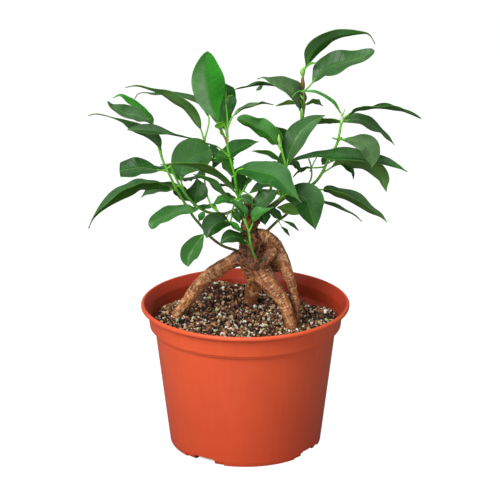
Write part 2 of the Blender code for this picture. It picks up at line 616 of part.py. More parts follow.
def stem_tube(stem, sides=5):
    path = stem_path(stem)
    return tube(stem.name, path, np.linspace(stem.radius, stem.tip_radius, len(path)), sides)


def join_by_union(name, pieces, solver="EXACT"):
    """One solid from overlapping closed pieces, with the pieces removed."""
    others = bpy.data.collections.new(name + "_pieces")
    for piece in pieces[1:]:
        bpy.context.scene.collection.objects.unlink(piece)
        others.objects.link(piece)
    bpy.context.scene.collection.children.link(others)
    body = pieces[0]
    body.name = name
    union = body.modifiers.new("union", "BOOLEAN")
    union.operation = "UNION"
    union.operand_type = "COLLECTION"
    union.collection = others
    union.solver = solver
    apply_modifiers(body)
    for piece in list(others.objects):
        bpy.data.objects.remove(piece)
    bpy.data.collections.remove(others)
    return body


def apply_modifiers(obj):
    """Replaces the object's mesh by the one its modifiers make."""
    graph = bpy.context.evaluated_depsgraph_get()
    made = bpy.data.meshes.new_from_object(obj.evaluated_get(graph))
    obj.modifiers.clear()
    obj.data = made


def cut_away(body, cutters):
    """Cuts closed shapes out of a body, with the shapes removed."""
    for cutter in cutters:
        cut = body.modifiers.new("cut", "BOOLEAN")
        cut.operation = "DIFFERENCE"
        cut.object = cutter
    apply_modifiers(body)
    for cutter in cutters:
        bpy.data.objects.remove(cutter)


def material(name, colour, roughness):
    made = bpy.data.materials.new(name)
    made.use_nodes = True
    shader = made.node_tree.nodes["Principled BSDF"]
    shader.inputs["Base Color"].default_value = (*colour, 1.0)
    shader.inputs["Roughness"].default_value = roughness
    shader.inputs["Metallic"].default_value = 0.0
    return made


def dress(obj, finish, crease=None):
    obj.data.materials.clear()
    obj.data.materials.append(finish)
    if crease is not None:
        obj.data.shade_smooth()
        obj.data.set_sharp_from_angle(angle=math.radians(crease))


def bearing_wedge(name, start, end, inner, outer, low, high):
    """A block between two bearings, two radii and two heights. Bearing 0 faces the viewer."""
    bearings = np.radians(np.linspace(start, end, 5))
    directions = np.stack([np.sin(bearings), -np.cos(bearings)], axis=1)
    outline = np.concatenate([directions * outer, directions[::-1] * inner])
    count = len(outline)
    points = [(x, y, z) for z in (low, high) for x, y in outline]
    faces = [tuple(range(count))[::-1], tuple(range(count, 2 * count))]
    faces += [(i, (i + 1) % count, count + (i + 1) % count, count + i) for i in range(count)]
    return add_mesh(name, points, faces)


def wall_radius_inside(z):
    """The pot's inner radius at a height, from the profile below."""
    heights = (FLOOR_TOP + 1.4, COLLAR_BOTTOM - 2.5, COLLAR_BOTTOM + 1.6, POT_HEIGHT - 1.6)
    radii = (
        WALL_FOOT_RADIUS - WALL, WALL_TOP_RADIUS - WALL, COLLAR_RADIUS - WALL,
        COLLAR_RADIUS + 1.5 - WALL,
    )
    return np.interp(z, heights, radii)


def make_pot():
    inside = [(wall_radius_inside(z), z) for z in (
        POT_HEIGHT - 1.6, COLLAR_BOTTOM + 1.6, COLLAR_BOTTOM - 2.5, FLOOR_TOP + 1.4)]
    profile = [
        (1.0, FLOOR_UNDERSIDE),
        (WALL_FOOT_RADIUS - FOOT_WIDTH, FLOOR_UNDERSIDE),
        (WALL_FOOT_RADIUS - FOOT_WIDTH, 0.0),
        (WALL_FOOT_RADIUS - 0.9, 0.0),
        (WALL_FOOT_RADIUS, 0.9),
        (WALL_TOP_RADIUS, COLLAR_BOTTOM - 3.0),
        (LEDGE_RADIUS - 0.2, COLLAR_BOTTOM - 2.5),
        (LEDGE_RADIUS, COLLAR_BOTTOM - 0.8),
        (COLLAR_RADIUS, COLLAR_BOTTOM - 0.2),
        (COLLAR_RADIUS + 1.5, POT_HEIGHT - 4.4),
        (COLLAR_RADIUS + 2.3, POT_HEIGHT - 3.4),
        (LIP_RADIUS - 0.7, POT_HEIGHT - 3.2),
        (LIP_RADIUS, POT_HEIGHT - 2.4),
        (LIP_RADIUS, POT_HEIGHT - 0.9),
        (LIP_RADIUS - 0.9, POT_HEIGHT),
        (COLLAR_RADIUS + 2.0, POT_HEIGHT),
        *inside,
        (WALL_FOOT_RADIUS - WALL - 1.6, FLOOR_TOP),
        (1.0, FLOOR_TOP),
    ]
    pot = lathe("pot", profile, POT_SIDES)
    cutters = []
    for n, bearing in enumerate(NOTCH_BEARINGS):
        half = NOTCH_WIDTH / 2
        cutters.append(bearing_wedge(f"notch_{n}", bearing - half, bearing + half, 46.0, 70.0, -1.0, 4.4))
        for side in (-1, 1):
            near = bearing + side * half
            far = bearing + side * (half + RECESS_WIDTH)
            inner = WALL_FOOT_RADIUS - RECESS_DEPTH
            low, high = sorted((near, far))
            cutters.append(bearing_wedge(f"recess_{n}_{side}", low, high, inner, 70.0, -1.0, 3.6))
        turn = math.radians(bearing)
        hole = tube(
            f"drain_{n}",
            np.array([(0, 0, 3.0), (0, 0, 9.0)]) + np.array((math.sin(turn), -math.cos(turn), 0)) * DRAIN_FROM_AXIS,
            np.array((DRAIN_RADIUS, DRAIN_RADIUS)),
            14,
        )
        cutters.append(hole)
    cut_away(pot, cutters)
    dress(pot, material("terracotta_coloured_plastic", (0.72, 0.12, 0.05), 0.42), 35)


def soil_height(x, y):
    """The level, plus a round heap or hollow at each of the soil's forms."""
    z = np.full(np.shape(x), SOIL_LEVEL)
    for cx, cy, spread, height in SOIL_FORMS:
        z = z + height * np.exp(-((x - cx) ** 2 + (y - cy) ** 2) / spread**2)
    return z + 0.7 * np.sin(x * 0.55 + 1) * np.sin(y * 0.5) + 0.5 * np.sin(x * 0.23 - y * 0.31)


def make_soil():
    angles = np.arange(SOIL_SIDES) * math.tau / SOIL_SIDES
    rings = []
    for ring in range(SOIL_RINGS):
        share = 1 - ring / SOIL_RINGS
        rough = wall_radius_inside(SOIL_LEVEL) * share
        level = soil_height(rough * np.cos(angles), rough * np.sin(angles))
        radius = (wall_radius_inside(level) - CLEARANCE) * share
        rings.append(np.stack([radius * np.cos(angles), radius * np.sin(angles), level], axis=1))
    lower = []
    for z, inset in ((FLOOR_TOP + CLEARANCE, 2.5), (COLLAR_BOTTOM - 2.6, CLEARANCE)):
        radius = wall_radius_inside(z) - inset
        lower.append(np.stack([radius * np.cos(angles), radius * np.sin(angles), np.full(SOIL_SIDES, z)], axis=1))
    points = np.concatenate(lower + rings)
    count = len(points) // SOIL_SIDES
    faces = [
        (
            r * SOIL_SIDES + s,
            r * SOIL_SIDES + (s + 1) % SOIL_SIDES,
            (r + 1) * SOIL_SIDES + (s + 1) % SOIL_SIDES,
            (r + 1) * SOIL_SIDES + s,
        )
        for r in range(count - 1)
        for s in range(SOIL_SIDES)
    ]
    faces.append(tuple(range(SOIL_SIDES))[::-1])
    faces.append(tuple(range((count - 1) * SOIL_SIDES, count * SOIL_SIDES)))
    soil = add_mesh("soil", points, faces)
    cutters = []
    for name in BURIED_ROOTS:
        path, radii = root_path(name)
        ended = unit(path[-1] - path[-2]) * CLEARANCE
        path = np.vstack([path, path[-1] + ended])
        radii = np.append(radii, radii[-1]) + CLEARANCE
        cutters.append(tube(name + "_hole", path, radii, ROOT_SIDES))
    cut_away(soil, cutters)
    dress(soil, material("potting_soil", (0.12, 0.07, 0.04), 0.95))


def root_path(name):
    """The smooth middle line and radii of one root."""
    rings = smooth_curve(ROOTS[name], len(ROOTS[name]) + 4)
    return rings[:, :3], rings[:, 3]


def collar(shoot):
    """The short swelling that a shoot grows out of, ending one clearance short of the stem."""
    stem = STEMS[shoot][0]
    start, following = stem_path(stem)[:2]
    ahead = unit(following - start)
    end = start - ahead * CLEARANCE
    inside = np.array(COLLARS[shoot], float)
    path = np.array([inside, end - ahead * 1.5, end])
    radii = np.array((stem.radius + 1.2, stem.radius + 0.6, stem.radius + 0.2))
    return tube(shoot + "_collar", path, radii, 8)


def make_trunk():
    pieces = []
    for name in ROOTS:
        path, radii = root_path(name)
        pieces.append(tube(name, path, radii, ROOT_SIDES))
    pieces += [collar(shoot) for shoot in STEMS]
    trunk = join_by_union("root_trunk", pieces, "MANIFOLD")
    dress(trunk, material("ficus_bark", (0.25, 0.13, 0.07), 0.75), 50)


def make_shoot(shoot, finish):
    pieces = [stem_tube(stem) for stem in STEMS[shoot]]
    middles = np.concatenate([smooth_curve(stem.points, 121) for stem in STEMS[shoot]])
    for leaf in LEAVES[shoot]:
        pieces.append(petiole(leaf, middles))
        pieces.append(blade(leaf))
    body = join_by_union(shoot, pieces)
    dress(body, finish, 40)


def main():
    for obj in list(bpy.data.objects):
        bpy.data.objects.remove(obj)
    make_pot()
    make_soil()
    make_trunk()
    leaf_green = material("ficus_leaf", (0.05, 0.22, 0.05), 0.35)
    for shoot in STEMS:
        make_shoot(shoot, leaf_green)


main()
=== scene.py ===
# %% [markdown]
# A ginseng ficus in its grower's pot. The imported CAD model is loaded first, because it says where
# every piece stands. Each visible piece is then worked out as a surface with numpy, at a finer
# scale than the CAD solids, and takes the place of its solid. Lengths are written in millimetres
# and turned into Blender's metres when a mesh is made.

import math
from dataclasses import dataclass

import bpy
import numpy as np
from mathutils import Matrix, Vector


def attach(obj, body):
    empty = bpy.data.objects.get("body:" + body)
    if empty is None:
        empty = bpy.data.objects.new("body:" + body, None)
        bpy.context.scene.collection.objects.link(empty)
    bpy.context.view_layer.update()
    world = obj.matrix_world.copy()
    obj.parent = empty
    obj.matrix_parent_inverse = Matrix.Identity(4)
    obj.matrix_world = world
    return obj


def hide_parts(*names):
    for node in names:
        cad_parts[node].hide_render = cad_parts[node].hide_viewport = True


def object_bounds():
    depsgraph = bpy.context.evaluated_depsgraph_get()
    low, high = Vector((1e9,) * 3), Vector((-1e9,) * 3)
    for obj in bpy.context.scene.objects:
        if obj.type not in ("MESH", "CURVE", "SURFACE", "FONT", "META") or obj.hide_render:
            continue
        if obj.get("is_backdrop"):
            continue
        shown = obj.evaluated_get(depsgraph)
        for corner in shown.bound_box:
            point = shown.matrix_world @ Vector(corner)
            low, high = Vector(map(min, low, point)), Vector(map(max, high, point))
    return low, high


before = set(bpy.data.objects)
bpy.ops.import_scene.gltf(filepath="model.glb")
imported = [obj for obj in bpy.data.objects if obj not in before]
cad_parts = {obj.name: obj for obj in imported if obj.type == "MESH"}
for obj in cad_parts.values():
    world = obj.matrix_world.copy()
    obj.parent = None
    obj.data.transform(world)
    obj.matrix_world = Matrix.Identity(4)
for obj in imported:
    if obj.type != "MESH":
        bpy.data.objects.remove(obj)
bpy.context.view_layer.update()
MM = 0.001

# %% [markdown]
# The photograph was taken with a long lens from a little above the rim. The rim's ellipse is
# 210 pixels wide and 66 high, which puts the camera 18.3 degrees above the horizon, and the way
# the pot narrows gives its distance. A camera is two things in Blender: the data block, which
# holds the lens, and the object, which holds its place.

# %% Camera
IMAGE_SIDE = 500  # pixels
FOCAL_PIXELS = 1970
SENSOR = 36.0  # mm
CAMERA_ELEVATION = math.radians(18.27)
CAMERA_DISTANCE = 1500  # mm
AIM = np.array((3.6, 0.0, 154.2))

lens = bpy.data.cameras.new("studio_camera")
lens.sensor_width = SENSOR
lens.lens = FOCAL_PIXELS / IMAGE_SIDE * SENSOR
away = np.array((0.0, -math.cos(CAMERA_ELEVATION), math.sin(CAMERA_ELEVATION)))
camera = bpy.data.objects.new("studio_camera", lens)
camera.location = (AIM + CAMERA_DISTANCE * away) * MM
camera.rotation_euler = (math.pi / 2 - CAMERA_ELEVATION, 0, 0)
bpy.context.scene.collection.objects.link(camera)
bpy.context.scene.camera = camera
print("lens", round(lens.lens, 1), "mm, camera at", [round(c, 3) for c in camera.location])

# %% [markdown]
# A few helpers write every mesh below. A ring surface is a grid of points, one row for each ring, and
# each cell of the grid becomes one four-sided face. Whole arrays go in at once, which is far faster
# than adding vertices one by one.

# %% Mesh helpers
def ring_faces(rows, around):
    """Faces of a closed ring surface: cell (r, s) joins s and s+1 on rows r and r+1."""
    r, s = np.meshgrid(np.arange(rows - 1), np.arange(around), indexing="ij")
    after = (s + 1) % around
    start = r * around
    above = start + around
    return np.stack([start + s, start + after, above + after, above + s], -1).reshape(-1, 4)


def ring_caps(rows, around):
    """The two end faces of a ring surface, the first one turned over so that it faces outward."""
    return [tuple(range(around))[::-1], tuple(range((rows - 1) * around, rows * around))]


def add_piece(name, points, faces, ends=(), smooth=True):
    """A mesh object from points in millimetres, an array of four-cornered faces and the end faces."""
    mesh = bpy.data.meshes.new(name)
    mesh.from_pydata((np.asarray(points) * MM).tolist(), [], [*np.asarray(faces).tolist(), *ends])
    mesh.update()
    if smooth:
        mesh.shade_smooth()
    piece = bpy.data.objects.new(name, mesh)
    bpy.context.scene.collection.objects.link(piece)
    return piece


def add_rings(name, points, around, smooth=True):
    """A closed mesh object from rings of this many points each, given one ring after another."""
    rows = len(points) // around
    return add_piece(name, points, ring_faces(rows, around), ring_caps(rows, around), smooth)


def set_attribute(piece, name, values):
    """Stores one number, or one vector of three, for each vertex."""
    values = np.asarray(values, np.float32)
    kind = "FLOAT" if values.ndim == 1 else "FLOAT_VECTOR"
    field = "value" if values.ndim == 1 else "vector"
    attribute = piece.data.attributes.new(name, kind, "POINT")
    attribute.data.foreach_set(field, values.ravel())


def srgb(red, green, blue):
    """The linear colour that a screen shows as these values from 0 to 255."""
    share = np.array((red, green, blue)) / 255
    return np.where(share < 0.04045, share / 12.92, ((share + 0.055) / 1.055) ** 2.4)


def noise(points, size, seed=0):
    """Smooth random heights between -1 and 1: a random number at each corner of a cubic lattice of
    this size, blended inside each cube with 3t^2 - 2t^3. The large odd numbers stir a corner's place
    into a number that looks random and is the same at each run."""
    place = np.asarray(points, float) / size
    cell = np.floor(place).astype(np.int64)
    t = place - cell
    t = t * t * (3 - 2 * t)
    total = np.zeros(len(place))
    for corner in np.ndindex(2, 2, 2):
        x, y, z = (cell + corner).T
        stirred = (x * 73856093) ^ (y * 19349663) ^ (z * 83492791) ^ (seed * 2654435)
        stirred = ((stirred ^ (stirred >> 13)) * 1274126177) & 0xFFFFFF
        weight = np.prod(np.where(corner, t, 1 - t), axis=1)
        total += weight * (stirred / 0x7FFFFF - 1)
    return total


def unit(vectors):
    """The vectors at length one."""
    return vectors / np.maximum(np.linalg.norm(vectors, axis=-1, keepdims=True), 1e-9)


# %% [markdown]
# Materials are small graphs of nodes. One helper adds a node and fills its sockets, each with a
# number or with a link from another node, and the others are short names for nodes that come often.
# Object coordinates are in metres, so a noise texture of scale 1000 has lumps about a millimetre
# wide.

# %% Material helpers
def put(tree, kind, *numbered, settings=None, **named):
    """Adds a node to the tree. Sockets are given in order, or by name with _ for a space."""
    node = tree.nodes.new("ShaderNode" + kind)
    for key, value in (settings or {}).items():
        setattr(node, key, value)
    given = [(node.inputs[i], v) for i, v in enumerate(numbered) if v is not None]
    given += [(node.inputs[key.replace("_", " ")], value) for key, value in named.items()]
    for socket, value in given:
        if isinstance(value, bpy.types.NodeSocket):
            tree.links.new(value, socket)
        elif socket.type == "RGBA":
            socket.default_value = (*value[:3], 1.0)
        else:
            socket.default_value = value
    return node


def math_node(tree, operation, *values):
    """The output of one sum on numbers or links."""
    return put(tree, "Math", *values, settings={"operation": operation}).outputs[0]


def plus(tree, first, second):
    """Two values added up."""
    return math_node(tree, "ADD", first, second)


def times(tree, first, second):
    """Two values multiplied."""
    return math_node(tree, "MULTIPLY", first, second)


def ramp(tree, value, low, high, start=0.0, end=1.0):
    """Carries the range low to high over to the range start to end, and holds it there."""
    return put(tree, "MapRange", value, low, high, start, end, settings={"clamp": True}).outputs[0]


def mixed(tree, share, first, second, blend="MIX"):
    """Two colours blended by a share."""
    node = put(tree, "Mix", settings={"data_type": "RGBA", "blend_type": blend})
    for socket, value in ((node.inputs[0], share), (node.inputs[6], first), (node.inputs[7], second)):
        if isinstance(value, bpy.types.NodeSocket):
            tree.links.new(value, socket)
        else:
            socket.default_value = value if socket.type == "VALUE" else (*value[:3], 1.0)
    return node.outputs[2]


def tinted(tree, colour, mask, amount, tint):
    """The colour with this amount of a tint where the mask is one."""
    return mixed(tree, times(tree, mask, amount), colour, tint)


def object_place(tree):
    """Where a point of the surface is, in metres in the object's own frame."""
    return put(tree, "TexCoord").outputs["Object"]


def stored(tree, name, output="Fac"):
    """A value that set_attribute stored with the mesh."""
    return put(tree, "Attribute", settings={"attribute_name": name}).outputs[output]


def noise_map(tree, place, scale, detail, **more):
    """A noise texture's value, mostly between 0.3 and 0.7."""
    return put(tree, "TexNoise", Vector=place, Scale=scale, Detail=detail, **more).outputs["Fac"]


def length_of(tree, vector):
    """The length of a vector."""
    return put(tree, "VectorMath", vector, settings={"operation": "LENGTH"}).outputs["Value"]


def new_finish(name, roughness=0.5):
    """An empty material: its node tree and its shader."""
    finish = bpy.data.materials.new(name)
    finish.use_nodes = True
    tree = finish.node_tree
    shader = tree.nodes["Principled BSDF"]
    shader.inputs["Roughness"].default_value = roughness
    return finish, tree, shader


def link(tree, output, shader, socket):
    """Feeds one of the shader's sockets."""
    tree.links.new(output, shader.inputs[socket])


def bump(tree, height, shader, depth, strength=1.0):
    """Feeds a height between 0 and 1 to the shader's normal; depth is in metres."""
    node = put(tree, "Bump", Height=height, Distance=depth, Strength=strength)
    link(tree, node.outputs["Normal"], shader, "Normal")


# %% [markdown]
# Two effects are wanted in several materials: uneven colour in soft patches, and a fine grain that
# breaks up the shine. Each is a node group, built once. A group puts out plain masks and heights,
# and every material decides for itself what to do with them.

# %% Shared node groups
def group_with(name, inputs, outputs):
    """A node group with float inputs {name: default} and float outputs."""
    group = bpy.data.node_groups.new(name, "ShaderNodeTree")
    for key, default in inputs.items():
        socket = group.interface.new_socket(key, in_out="INPUT", socket_type="NodeSocketFloat")
        socket.default_value = default
    for key in outputs:
        group.interface.new_socket(key, in_out="OUTPUT", socket_type="NodeSocketFloat")
    return group, group.nodes.new("NodeGroupInput"), group.nodes.new("NodeGroupOutput")


patches, entry, leave = group_with("soft_patches", {"Scale": 60.0, "Contrast": 0.2}, ["Mask"])
broad = noise_map(patches, object_place(patches), entry.outputs["Scale"], 3.0)
low = math_node(patches, "SUBTRACT", 0.5, entry.outputs["Contrast"])
high = math_node(patches, "ADD", 0.5, entry.outputs["Contrast"])
patches.links.new(ramp(patches, broad, low, high), leave.inputs["Mask"])

grain, entry, leave = group_with("fine_grain", {"Scale": 900.0, "Pits": 0.4}, ["Height"])
place = object_place(grain)
fine = noise_map(grain, place, entry.outputs["Scale"], 2.0)
cells = put(grain, "TexVoronoi", Vector=place, Scale=entry.outputs["Scale"])
pitted = times(grain, cells.outputs["Distance"], entry.outputs["Pits"])
grain.links.new(plus(grain, fine, pitted), leave.inputs["Height"])


def patch_mask(tree, scale, contrast):
    """The soft patches, placed in a material."""
    node = put(tree, "Group", settings={"node_tree": patches}, Scale=scale, Contrast=contrast)
    return node.outputs["Mask"]


def grain_height(tree, scale, pits):
    """The fine grain, placed in a material."""
    node = put(tree, "Group", settings={"node_tree": grain}, Scale=scale, Pits=pits)
    return node.outputs["Height"]


print("groups:", [g.name for g in bpy.data.node_groups])

# %% [markdown]
# The pot is thin injection-moulded plastic, turned about one axis: a rolled lip, a collar, a small
# step under the collar, and a wall that narrows to a foot ring. A lathe surface is a profile of
# radius and height carried round the axis. The upper part of the profile comes first. Each corner is
# written as a named size and a small offset, because the lip and the step are only a few
# millimetres, and a moulded corner is never sharp, so each one is rounded.

# %% Pot profile
POT_HEIGHT = 113.0
LIP_RADIUS = 80.0
COLLAR_BOTTOM = 95.5
COLLAR_RADIUS = 73.5
COLLAR_FLARE = 1.5  # how much wider the collar is under the lip
LEDGE_RADIUS = 71.5
WALL_TOP_RADIUS = 69.3
WALL_FOOT_RADIUS = 58.8
FLOOR_UNDERSIDE = 5.0
FLOOR_TOP = 6.8
WALL = 1.6  # thickness
WALL_ROWS = 24
WALL_FOOT = 0.9  # the height at which the wall has its foot radius
WALL_TOP = COLLAR_BOTTOM - 5.0
INNER_FOOT = FLOOR_TOP + 1.4  # the heights between which the inner face is straight
INNER_WALL_TOP = COLLAR_BOTTOM - 2.5
INNER_COLLAR = COLLAR_BOTTOM + 1.6
INNER_TOP = POT_HEIGHT - WALL
UNDER_LIP = POT_HEIGHT - 7.0
ROUNDING = 0.9


def inner_radius(z):
    """The pot's inner radius at a height: straight between four heights."""
    outer = np.array((WALL_FOOT_RADIUS, WALL_TOP_RADIUS, COLLAR_RADIUS, COLLAR_RADIUS + COLLAR_FLARE))
    return np.interp(z, (INNER_FOOT, INNER_WALL_TOP, INNER_COLLAR, INNER_TOP), outer - WALL)


def rounded(corners, radius, steps=4):
    """A profile with each inner corner replaced by a small arc: a quadratic curve between two
    points, each set back from the corner by the radius, or by a third of the side if that is less."""
    corners = np.array(corners, float)
    made = [corners[:1]]
    t = np.linspace(0, 1, steps + 1)[:, None]
    for before, corner, after in zip(corners, corners[1:], corners[2:]):
        back = min(radius, np.linalg.norm(before - corner) / 3)
        ahead = min(radius, np.linalg.norm(after - corner) / 3)
        start = corner + unit(before - corner) * back
        end = corner + unit(after - corner) * ahead
        made.append((1 - t) ** 2 * start + 2 * t * (1 - t) * corner + t**2 * end)
    made.append(corners[-1:])
    return np.concatenate(made)


# Corners as radius and height, from the top of the wall over the lip and down the inside.
outside = rounded(
    [
        (WALL_TOP_RADIUS - 0.2, COLLAR_BOTTOM - 7.0),
        (WALL_TOP_RADIUS + 0.1, COLLAR_BOTTOM - 3.0),
        (LEDGE_RADIUS, COLLAR_BOTTOM - 2.6),
        (LEDGE_RADIUS, COLLAR_BOTTOM - 0.7),
        (COLLAR_RADIUS, COLLAR_BOTTOM - 0.3),
        (COLLAR_RADIUS + 0.1, COLLAR_BOTTOM + 0.9),
        (COLLAR_RADIUS + COLLAR_FLARE, POT_HEIGHT - 5.4),
        (LIP_RADIUS - 1.6, POT_HEIGHT - 3.6),
        (LIP_RADIUS, POT_HEIGHT - 2.8),
        (LIP_RADIUS, POT_HEIGHT - 0.9),
        (LIP_RADIUS - 1.2, POT_HEIGHT),
        (LIP_RADIUS - 2.6, POT_HEIGHT - 0.2),
        (COLLAR_RADIUS + 1.4, POT_HEIGHT - 3.6),
        (inner_radius(UNDER_LIP), UNDER_LIP),
        (inner_radius(INNER_COLLAR), INNER_COLLAR),
        (inner_radius(INNER_WALL_TOP), INNER_WALL_TOP),
        (inner_radius(INNER_FOOT), INNER_FOOT),
        (WALL_FOOT_RADIUS - WALL - 2.4, FLOOR_TOP),
        (1.0, FLOOR_TOP),
    ],
    ROUNDING,
)
print("profile points above the wall:", len(outside))

# %% [markdown]
# The foot ring is notched in four places, so the profile's lowest points move with the bearing.
# Inside a notch the foot ends higher, so light gets in under the floor, and just beside each notch
# its outer face steps back a little, as the mould leaves it. The grid has extra columns at the
# edges of each notch and of each step, which keeps them crisp.

# %% Pot shell
FOOT_WIDTH = 6.0
NOTCH_BEARINGS = (-33.0, 57.0, 147.0, 237.0)  # degrees, 0 faces the viewer, positive turns to +X
NOTCH_WIDTH = 18.0  # degrees
NOTCH_TOP = 4.4
RECESS_WIDTH = 8.0  # degrees
RECESS_DEPTH = 1.5
RECESS_TOP = 3.6
COLUMN = 1.5  # degrees
EDGE = 0.12  # degrees over which a notch's side is drawn
SHARP = math.radians(42)  # edges that turn more than this stay crisp

wall_heights = np.linspace(RECESS_TOP, COLLAR_BOTTOM - 8.0, WALL_ROWS)
wall_radii = np.interp(wall_heights, (WALL_FOOT, WALL_TOP), (WALL_FOOT_RADIUS, WALL_TOP_RADIUS))
wall = np.stack([wall_radii, np.maximum(wall_heights, NOTCH_TOP)], 1)
regular = np.arange(0.0, 360.0, COLUMN)
edges = [
    (bearing + side * (NOTCH_WIDTH / 2 + extra) + nudge) % 360
    for bearing in NOTCH_BEARINGS
    for side in (-1, 1)
    for extra in (0.0, RECESS_WIDTH)
    for nudge in (-EDGE / 2, EDGE / 2)
]
bearings = np.unique(np.round(np.concatenate([regular, edges]), 3))
from_notch = np.min([np.abs((bearings - b + 180) % 360 - 180) for b in NOTCH_BEARINGS], axis=0)
in_notch = from_notch < NOTCH_WIDTH / 2
in_recess = from_notch < NOTCH_WIDTH / 2 + RECESS_WIDTH
foot_z = np.where(in_notch, NOTCH_TOP, 0.0)
recess_inset = np.where(in_recess, RECESS_DEPTH, 0.0)
level = np.ones(len(bearings))
foot_rings = [
    (1.0 * level, FLOOR_UNDERSIDE * level),
    ((WALL_FOOT_RADIUS - FOOT_WIDTH) * level, FLOOR_UNDERSIDE * level),
    ((WALL_FOOT_RADIUS - FOOT_WIDTH) * level, foot_z),
    (WALL_FOOT_RADIUS - 1.2 - recess_inset, foot_z),
    (WALL_FOOT_RADIUS - 0.35 - recess_inset, np.maximum(foot_z, 0.35)),
    (WALL_FOOT_RADIUS - recess_inset, np.maximum(foot_z, 1.1)),
    (WALL_FOOT_RADIUS + 0.25 - recess_inset, np.maximum(foot_z, RECESS_TOP - 0.15)),
    (WALL_FOOT_RADIUS + 0.3 * level, np.maximum(foot_z, RECESS_TOP)),
]
turned = [(r * level, z * level) for r, z in np.concatenate([wall, outside])]
radius = np.array([r for r, _ in foot_rings + turned])
height = np.array([z for _, z in foot_rings + turned])
turn = np.radians(bearings)
points = np.stack([radius * np.sin(turn), -radius * np.cos(turn), height], -1)
pot = add_rings("pot_shell", points.reshape(-1, 3), len(bearings))
pot.data.set_sharp_from_angle(angle=SHARP)
print("pot:", len(pot.data.polygons), "faces")

# %% [markdown]
# Four drain holes go through the floor, one behind each notch. A hole changes how the surface hangs
# together, so a Boolean cut is simpler than working it into the grid.

# %% Drain holes
DRAIN_RADIUS = 4.5
DRAIN_FROM_AXIS = 49.0
DRAIN_SIDES = 28


def apply_modifiers(piece):
    """Replaces the mesh by the one that the modifiers make."""
    graph = bpy.context.evaluated_depsgraph_get()
    made = bpy.data.meshes.new_from_object(piece.evaluated_get(graph))
    piece.modifiers.clear()
    old = piece.data
    piece.data = made
    bpy.data.meshes.remove(old)


for bearing in NOTCH_BEARINGS:
    around = np.arange(DRAIN_SIDES) * math.tau / DRAIN_SIDES
    centre = DRAIN_FROM_AXIS * np.array((math.sin(math.radians(bearing)), -math.cos(math.radians(bearing))))
    x = centre[0] + DRAIN_RADIUS * np.cos(around)
    y = centre[1] + DRAIN_RADIUS * np.sin(around)
    rings = [np.stack([x, y, 0 * x + z], -1) for z in (FLOOR_UNDERSIDE - 1.0, FLOOR_TOP + 1.2)]
    drill = add_rings("drill", np.concatenate(rings), DRAIN_SIDES, smooth=False)
    cut = pot.modifiers.new("drain", "BOOLEAN")
    cut.operation = "DIFFERENCE"
    cut.object = drill
    apply_modifiers(pot)
    bpy.data.objects.remove(drill)
pot.data.set_sharp_from_angle(angle=SHARP)
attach(pot, "root")
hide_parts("pot")
print("pot with drains:", len(pot.data.polygons), "faces")

# %% [markdown]
# The plastic is an orange-red of one colour right through, and a little shiny. What keeps it from
# looking like paint is small: a broad unevenness from the mould, faint upright flow lines, a fine
# grain in the shine, and traces of soil on the inside of the wall. Low down, inside and under the
# foot, the colour is darkened with painted shade where less light gets in.

# %% Pot finish
POT_COLOUR = srgb(227, 91, 50)
POT_DEEP = srgb(182, 54, 26)
POT_INSIDE_SHADE = srgb(140, 30, 12)
SOIL_TRACE = srgb(96, 52, 34)
UNDERSIDE_SHADE = srgb(34, 14, 10)

finish, tree, shader = new_finish("terracotta_coloured_plastic")
place = object_place(tree)
x, y, z = put(tree, "SeparateXYZ", place).outputs
flow_place = put(tree, "Mapping", place, Scale=(1.0, 1.0, 0.06)).outputs[0]
flow = noise_map(tree, flow_place, 260.0, 3.0)
colour = mixed(tree, ramp(tree, patch_mask(tree, 22.0, 0.3), 0, 1, 0.0, 0.3), POT_COLOUR, POT_DEEP)
# Painted shade: the colour goes deeper towards the bottom of the pot.
colour = mixed(tree, ramp(tree, z, 0.0, 0.092, 0.5, 0.0), colour, POT_DEEP)
colour = mixed(tree, ramp(tree, flow, 0.35, 0.7, 0.0, 0.12), colour, POT_DEEP)

# The inside is what lies nearer the axis than the middle of the wall's thickness.
from_axis = length_of(tree, put(tree, "CombineXYZ", x, y, 0.0).outputs[0])
mid_wall = ramp(tree, z, INNER_WALL_TOP * MM, INNER_COLLAR * MM, 0.0696, 0.0727)
mid_wall = plus(tree, mid_wall, ramp(tree, z, INNER_COLLAR * MM, INNER_TOP * MM, 0.0, 0.0015))
mid_wall = plus(tree, mid_wall, ramp(tree, z, 0.1062, 0.1122, 0.0, 0.0039))
inside_wall = ramp(tree, math_node(tree, "SUBTRACT", mid_wall, from_axis), 0.0, 0.0003)
inside_wall = times(tree, inside_wall, ramp(tree, z, 0.0928, 0.0932))
# Painted shade: the inner face of the wall is darkened towards a deep red.
colour = tinted(tree, colour, inside_wall, 0.75, POT_INSIDE_SHADE)
above_soil = times(tree, inside_wall, ramp(tree, z, 0.094, 0.110, 1.0, 0.0))
specks = ramp(tree, noise_map(tree, place, 420.0, 4.0), 0.52, 0.6)
colour = tinted(tree, colour, times(tree, above_soil, specks), 0.6, SOIL_TRACE)
# Painted shade: the underside within the foot ring, seen through the notches, goes nearly black.
low_down = ramp(tree, z, 0.0046, 0.0058, 1.0, 0.0)
shaded_underside = times(tree, low_down, ramp(tree, from_axis, 0.0560, 0.0572, 1.0, 0.0))
colour = mixed(tree, shaded_underside, colour, UNDERSIDE_SHADE)
link(tree, colour, shader, "Base Color")
shine = grain_height(tree, 700.0, 0.5)
link(tree, ramp(tree, plus(tree, shine, flow), 0.6, 1.6, 0.36, 0.5), shader, "Roughness")
bump(tree, shine, shader, 0.00004, 0.5)
shader.inputs["Specular IOR Level"].default_value = 0.36
pot.data.materials.append(finish)
print("finish:", finish.name)

# %% [markdown]
# The potting mix is a bed of brown crumbs, heaped up behind on the left and hollow behind on the
# right. The bed is one height over the pot's round: a level, a few round heaps, and crumb-sized
# noise. Its edge follows the pot's inner wall down to the floor, so that the bed is a closed body.

